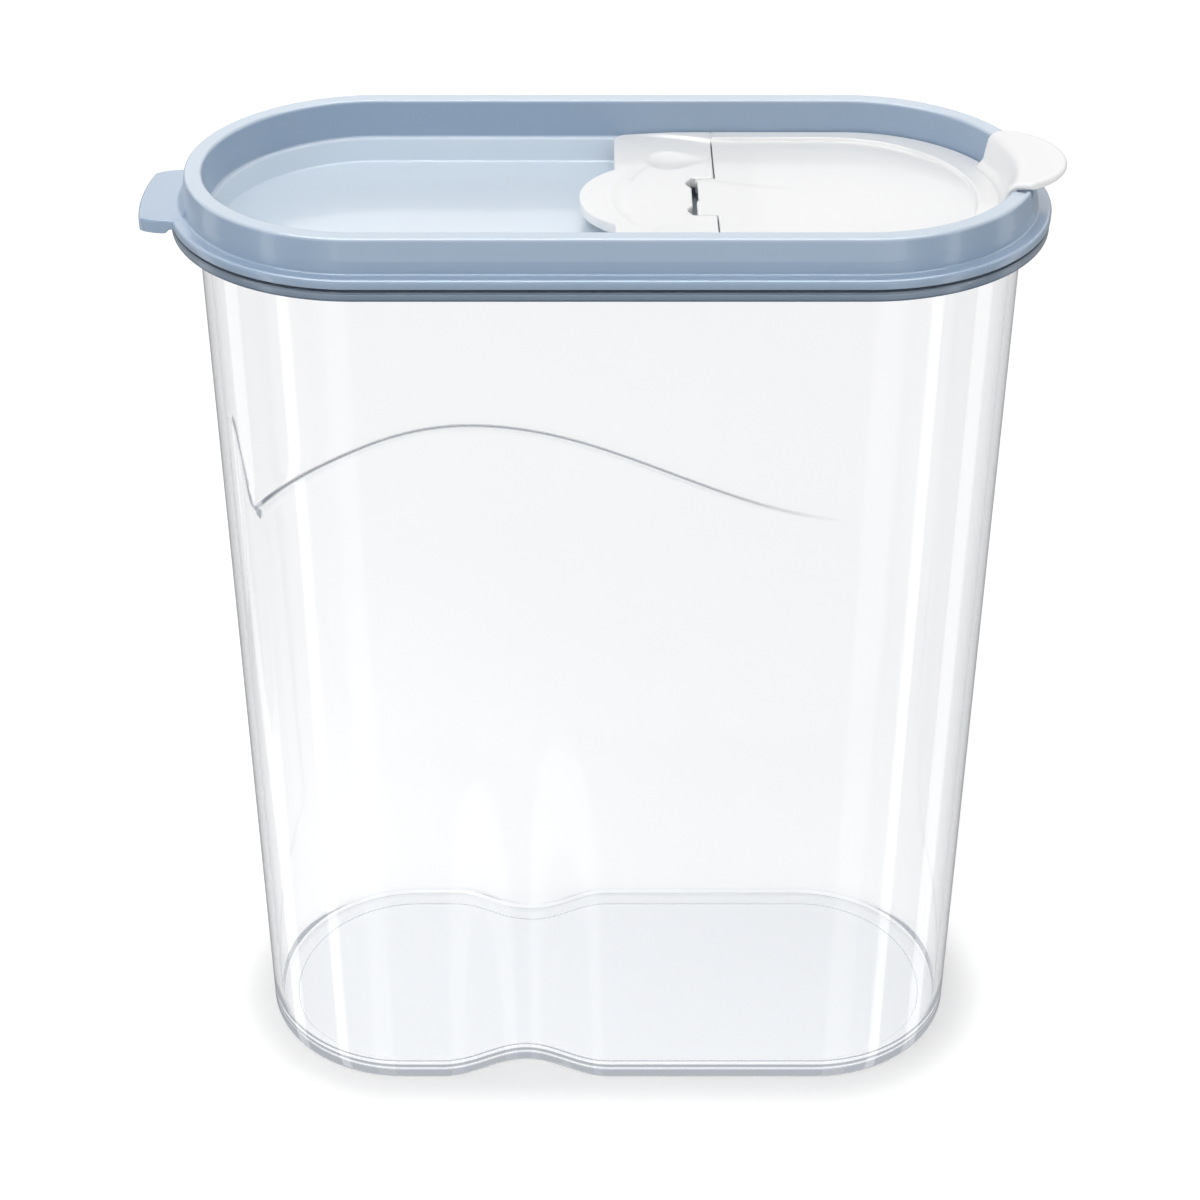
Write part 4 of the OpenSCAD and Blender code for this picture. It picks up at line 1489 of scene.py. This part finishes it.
@dataclass
class Studio:
    """A plain white stage: floor, world, lamps and the camera."""

    half: float
    foot_r: float
    floor_size: float = 6.0
    camera_at: tuple[float, float, float] = (-0.00247, -0.5328, 0.4878)
    camera_pitch: float = 0.5845
    lens: float = 72.0
    sensor: float = 36.0
    floor_grey: float = 0.9
    floor_drop: float = 0.05 * MM
    glow: float = 0.4
    glow_through: float = 0.3
    painted_glow_near: float = 0.13
    glow_reach: float = 270 * MM
    cool: tuple[float, float, float] = (0.92, 0.96, 1.0)
    painted_shadow_depth: float = 0.7
    shadow_reach: float = 17 * MM
    sky: float = 0.64
    through: float = 0.85
    strip: float = 2.4
    back: float = 2.0
    back_low: float = 0.05
    back_high: float = 0.3
    top: float = 8.0
    top_from: float = 0.84
    top_to: float = 0.9
    room: tuple[tuple[float, float], ...] = (
        (-180, 0.35), (-114, 0.35), (-113, 1.3), (-99, 1.3), (-98, 0.15), (-63, 0.15), (-62, 2.4), (-54, 2.4),
        (-53, 0.3), (-30, 0.3), (-29, 0.9), (-14, 0.9), (-13, 0.15),
        (14, 0.15), (15, 0.9), (34, 0.9), (35, 0.3), (53, 0.3), (54, 2.4), (62, 2.4), (63, 0.15), (92, 0.15),
        (93, 1.3), (108, 1.3), (109, 0.35), (180, 0.35),
    )

    def lay_floor(self) -> None:
        """Lay a pale floor that keeps the shadow and shows white where it is seen, with a painted shadow round the
        base.

        To rays that come through clear plastic it glows a little brighter under and near the object, painted light
        that makes up for the light that the walls keep from it.
        """
        s = self.floor_size / 2
        points = np.array([[-s, -s, 0], [s, -s, 0], [s, s, 0], [-s, s, 0]]) - [0, 0, self.floor_drop]
        floor = make_piece("floor", points, [[0, 1, 2, 3]])
        material = bpy.data.materials.new("pale_floor")
        material.use_nodes = True
        material.node_tree.nodes.clear()
        wire = Wiring(material.node_tree)
        ray = wire.add("LightPath").outputs
        through = ray["Is Transmission Ray"]
        place = wire.add("TexCoord").outputs["Object"]
        far = wire.from_axis(place, self.half)
        # Painted shadow: to the camera the floor's glow is dimmed round the base.
        near = wire.math("SUBTRACT", 1.0, wire.spread(far, self.foot_r, self.foot_r + self.shadow_reach))
        shaded = wire.math("MULTIPLY_ADD", near, -self.glow * self.painted_shadow_depth, self.glow)
        # Painted light: to rays through clear plastic the floor glows brighter near the object.
        close = wire.math("SUBTRACT", 1.0, wire.spread(far, self.foot_r, self.glow_reach))
        lit = wire.math("MULTIPLY_ADD", close, self.painted_glow_near, self.glow_through)
        level = wire.math("MAXIMUM", wire.math("MULTIPLY", ray["Is Camera Ray"], shaded),
                          wire.math("MULTIPLY", through, lit))
        matt = wire.add("BsdfDiffuse", Color=(self.floor_grey,) * 3 + (1,)).outputs[0]
        pale = wire.add("AddShader")
        wire.put(matt, pale.inputs[0])
        wire.put(wire.glow(level, "Emission"), pale.inputs[1])
        wire.add("OutputMaterial", Surface=pale.outputs[0])
        floor.data.materials.append(material)
        floor.visible_glossy = False

    def light_world(self) -> None:
        """Light the scene evenly, and show gloss a dim room with bright strips round a bright top.

        The room is drawn by compass direction: dim, with upright bright strips to the left and right
        of the camera. The far side is a pale screen, and a lit ceiling draws thin lines on edges.
        """
        world = bpy.data.worlds.new("studio")
        world.use_nodes = True
        bpy.context.scene.world = world
        world.node_tree.nodes.clear()
        wire = Wiring(world.node_tree)
        way = wire.add("SeparateXYZ", Vector=wire.add("TexCoord").outputs["Generated"]).outputs
        compass = wire.math("ARCTAN2", way["X"], wire.math("MULTIPLY", way["Y"], -1.0))
        ramp = wire.add("ValToRGB", Fac=wire.spread(compass, -math.pi, math.pi, smooth=False))
        stops = ramp.color_ramp.elements
        stops.remove(stops[-1])
        for k, (angle, level) in enumerate(self.room):
            stop = stops.new(0.5 + angle / 360) if k else stops[0]
            stop.position = 0.5 + angle / 360
            stop.color = (level / self.strip,) * 3 + (1,)
        room = wire.add("Background", Color=ramp.outputs["Color"], Strength=self.strip).outputs[0]
        behind = wire.math("MULTIPLY", wire.spread(way["Z"], self.back_low, self.back_high),
                           wire.spread(way["Y"], -0.2, 0.3))
        shown = wire.mix(behind, room, wire.glow(self.back))
        shown = wire.mix(wire.spread(way["Z"], self.top_from, self.top_to), shown, wire.glow(self.top))
        ray = wire.add("LightPath").outputs
        unseen = wire.mix(ray["Is Glossy Ray"], wire.glow(self.sky), shown)
        unseen = wire.mix(ray["Is Transmission Ray"], unseen, wire.glow(self.through, colour=self.cool))
        wire.add("OutputWorld", Surface=wire.mix(ray["Is Camera Ray"], unseen, wire.glow(1.0)))

    def set_camera(self) -> None:
        """Set the camera at the photograph's viewing angle."""
        data = bpy.data.cameras.new("camera")
        data.lens, data.sensor_width = self.lens, self.sensor
        data.sensor_fit = "HORIZONTAL"
        data.clip_start, data.clip_end = 0.01, 50
        camera = bpy.data.objects.new("camera", data)
        bpy.context.scene.collection.objects.link(camera)
        camera.location = self.camera_at
        camera.rotation_euler = (math.pi / 2 - self.camera_pitch, 0, 0)
        bpy.context.scene.camera = camera

    def build(self) -> None:
        """Build the stage."""
        bpy.context.scene.view_settings.view_transform = "Standard"
        self.set_camera()
        self.lay_floor()
        self.light_world()
        Softbox("overhead", (-0.35, -0.35, 1.1), (0, 0, 0.15), 0.9, 0.45, 3.2).place()
        Softbox("front_fill", (0.1, -1.3, 0.1), (0, 0, 0.2), 1.2, 0.3, 2).place()


# ------------------------------------------------------------------------------------------ main


# The second colour is painted light in the well and a painted highlight along the crown.
BLUE = MouldedPlastic("blue_plastic", (0.32, 0.42, 0.55), (0.7, 0.78, 0.86))
WHITE = MouldedPlastic("white_plastic", (0.9, 0.9, 0.9), (0.9, 0.9, 0.9), cloud=0.01, roughness=0.4,
                       coat=0.25, soft=0.6)
CLEAR = ClearPlastic("clear_plastic", (0.975, 0.978, 0.983))


def main() -> None:
    """Load the frame, build each sub-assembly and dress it."""
    logging.basicConfig(level=logging.INFO, format="%(message)s")
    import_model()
    blue, white, clear = BLUE.make(), WHITE.make(), CLEAR.make()
    body = Container()
    Studio(body.half, body.base_r).build()
    body.build(clear)
    lid = Lid(body)
    lid.build(blue)
    plate = HingePlate(lid)
    plate.build(white)
    Flap(plate).build(white)


if __name__ == "__main__":
    main()
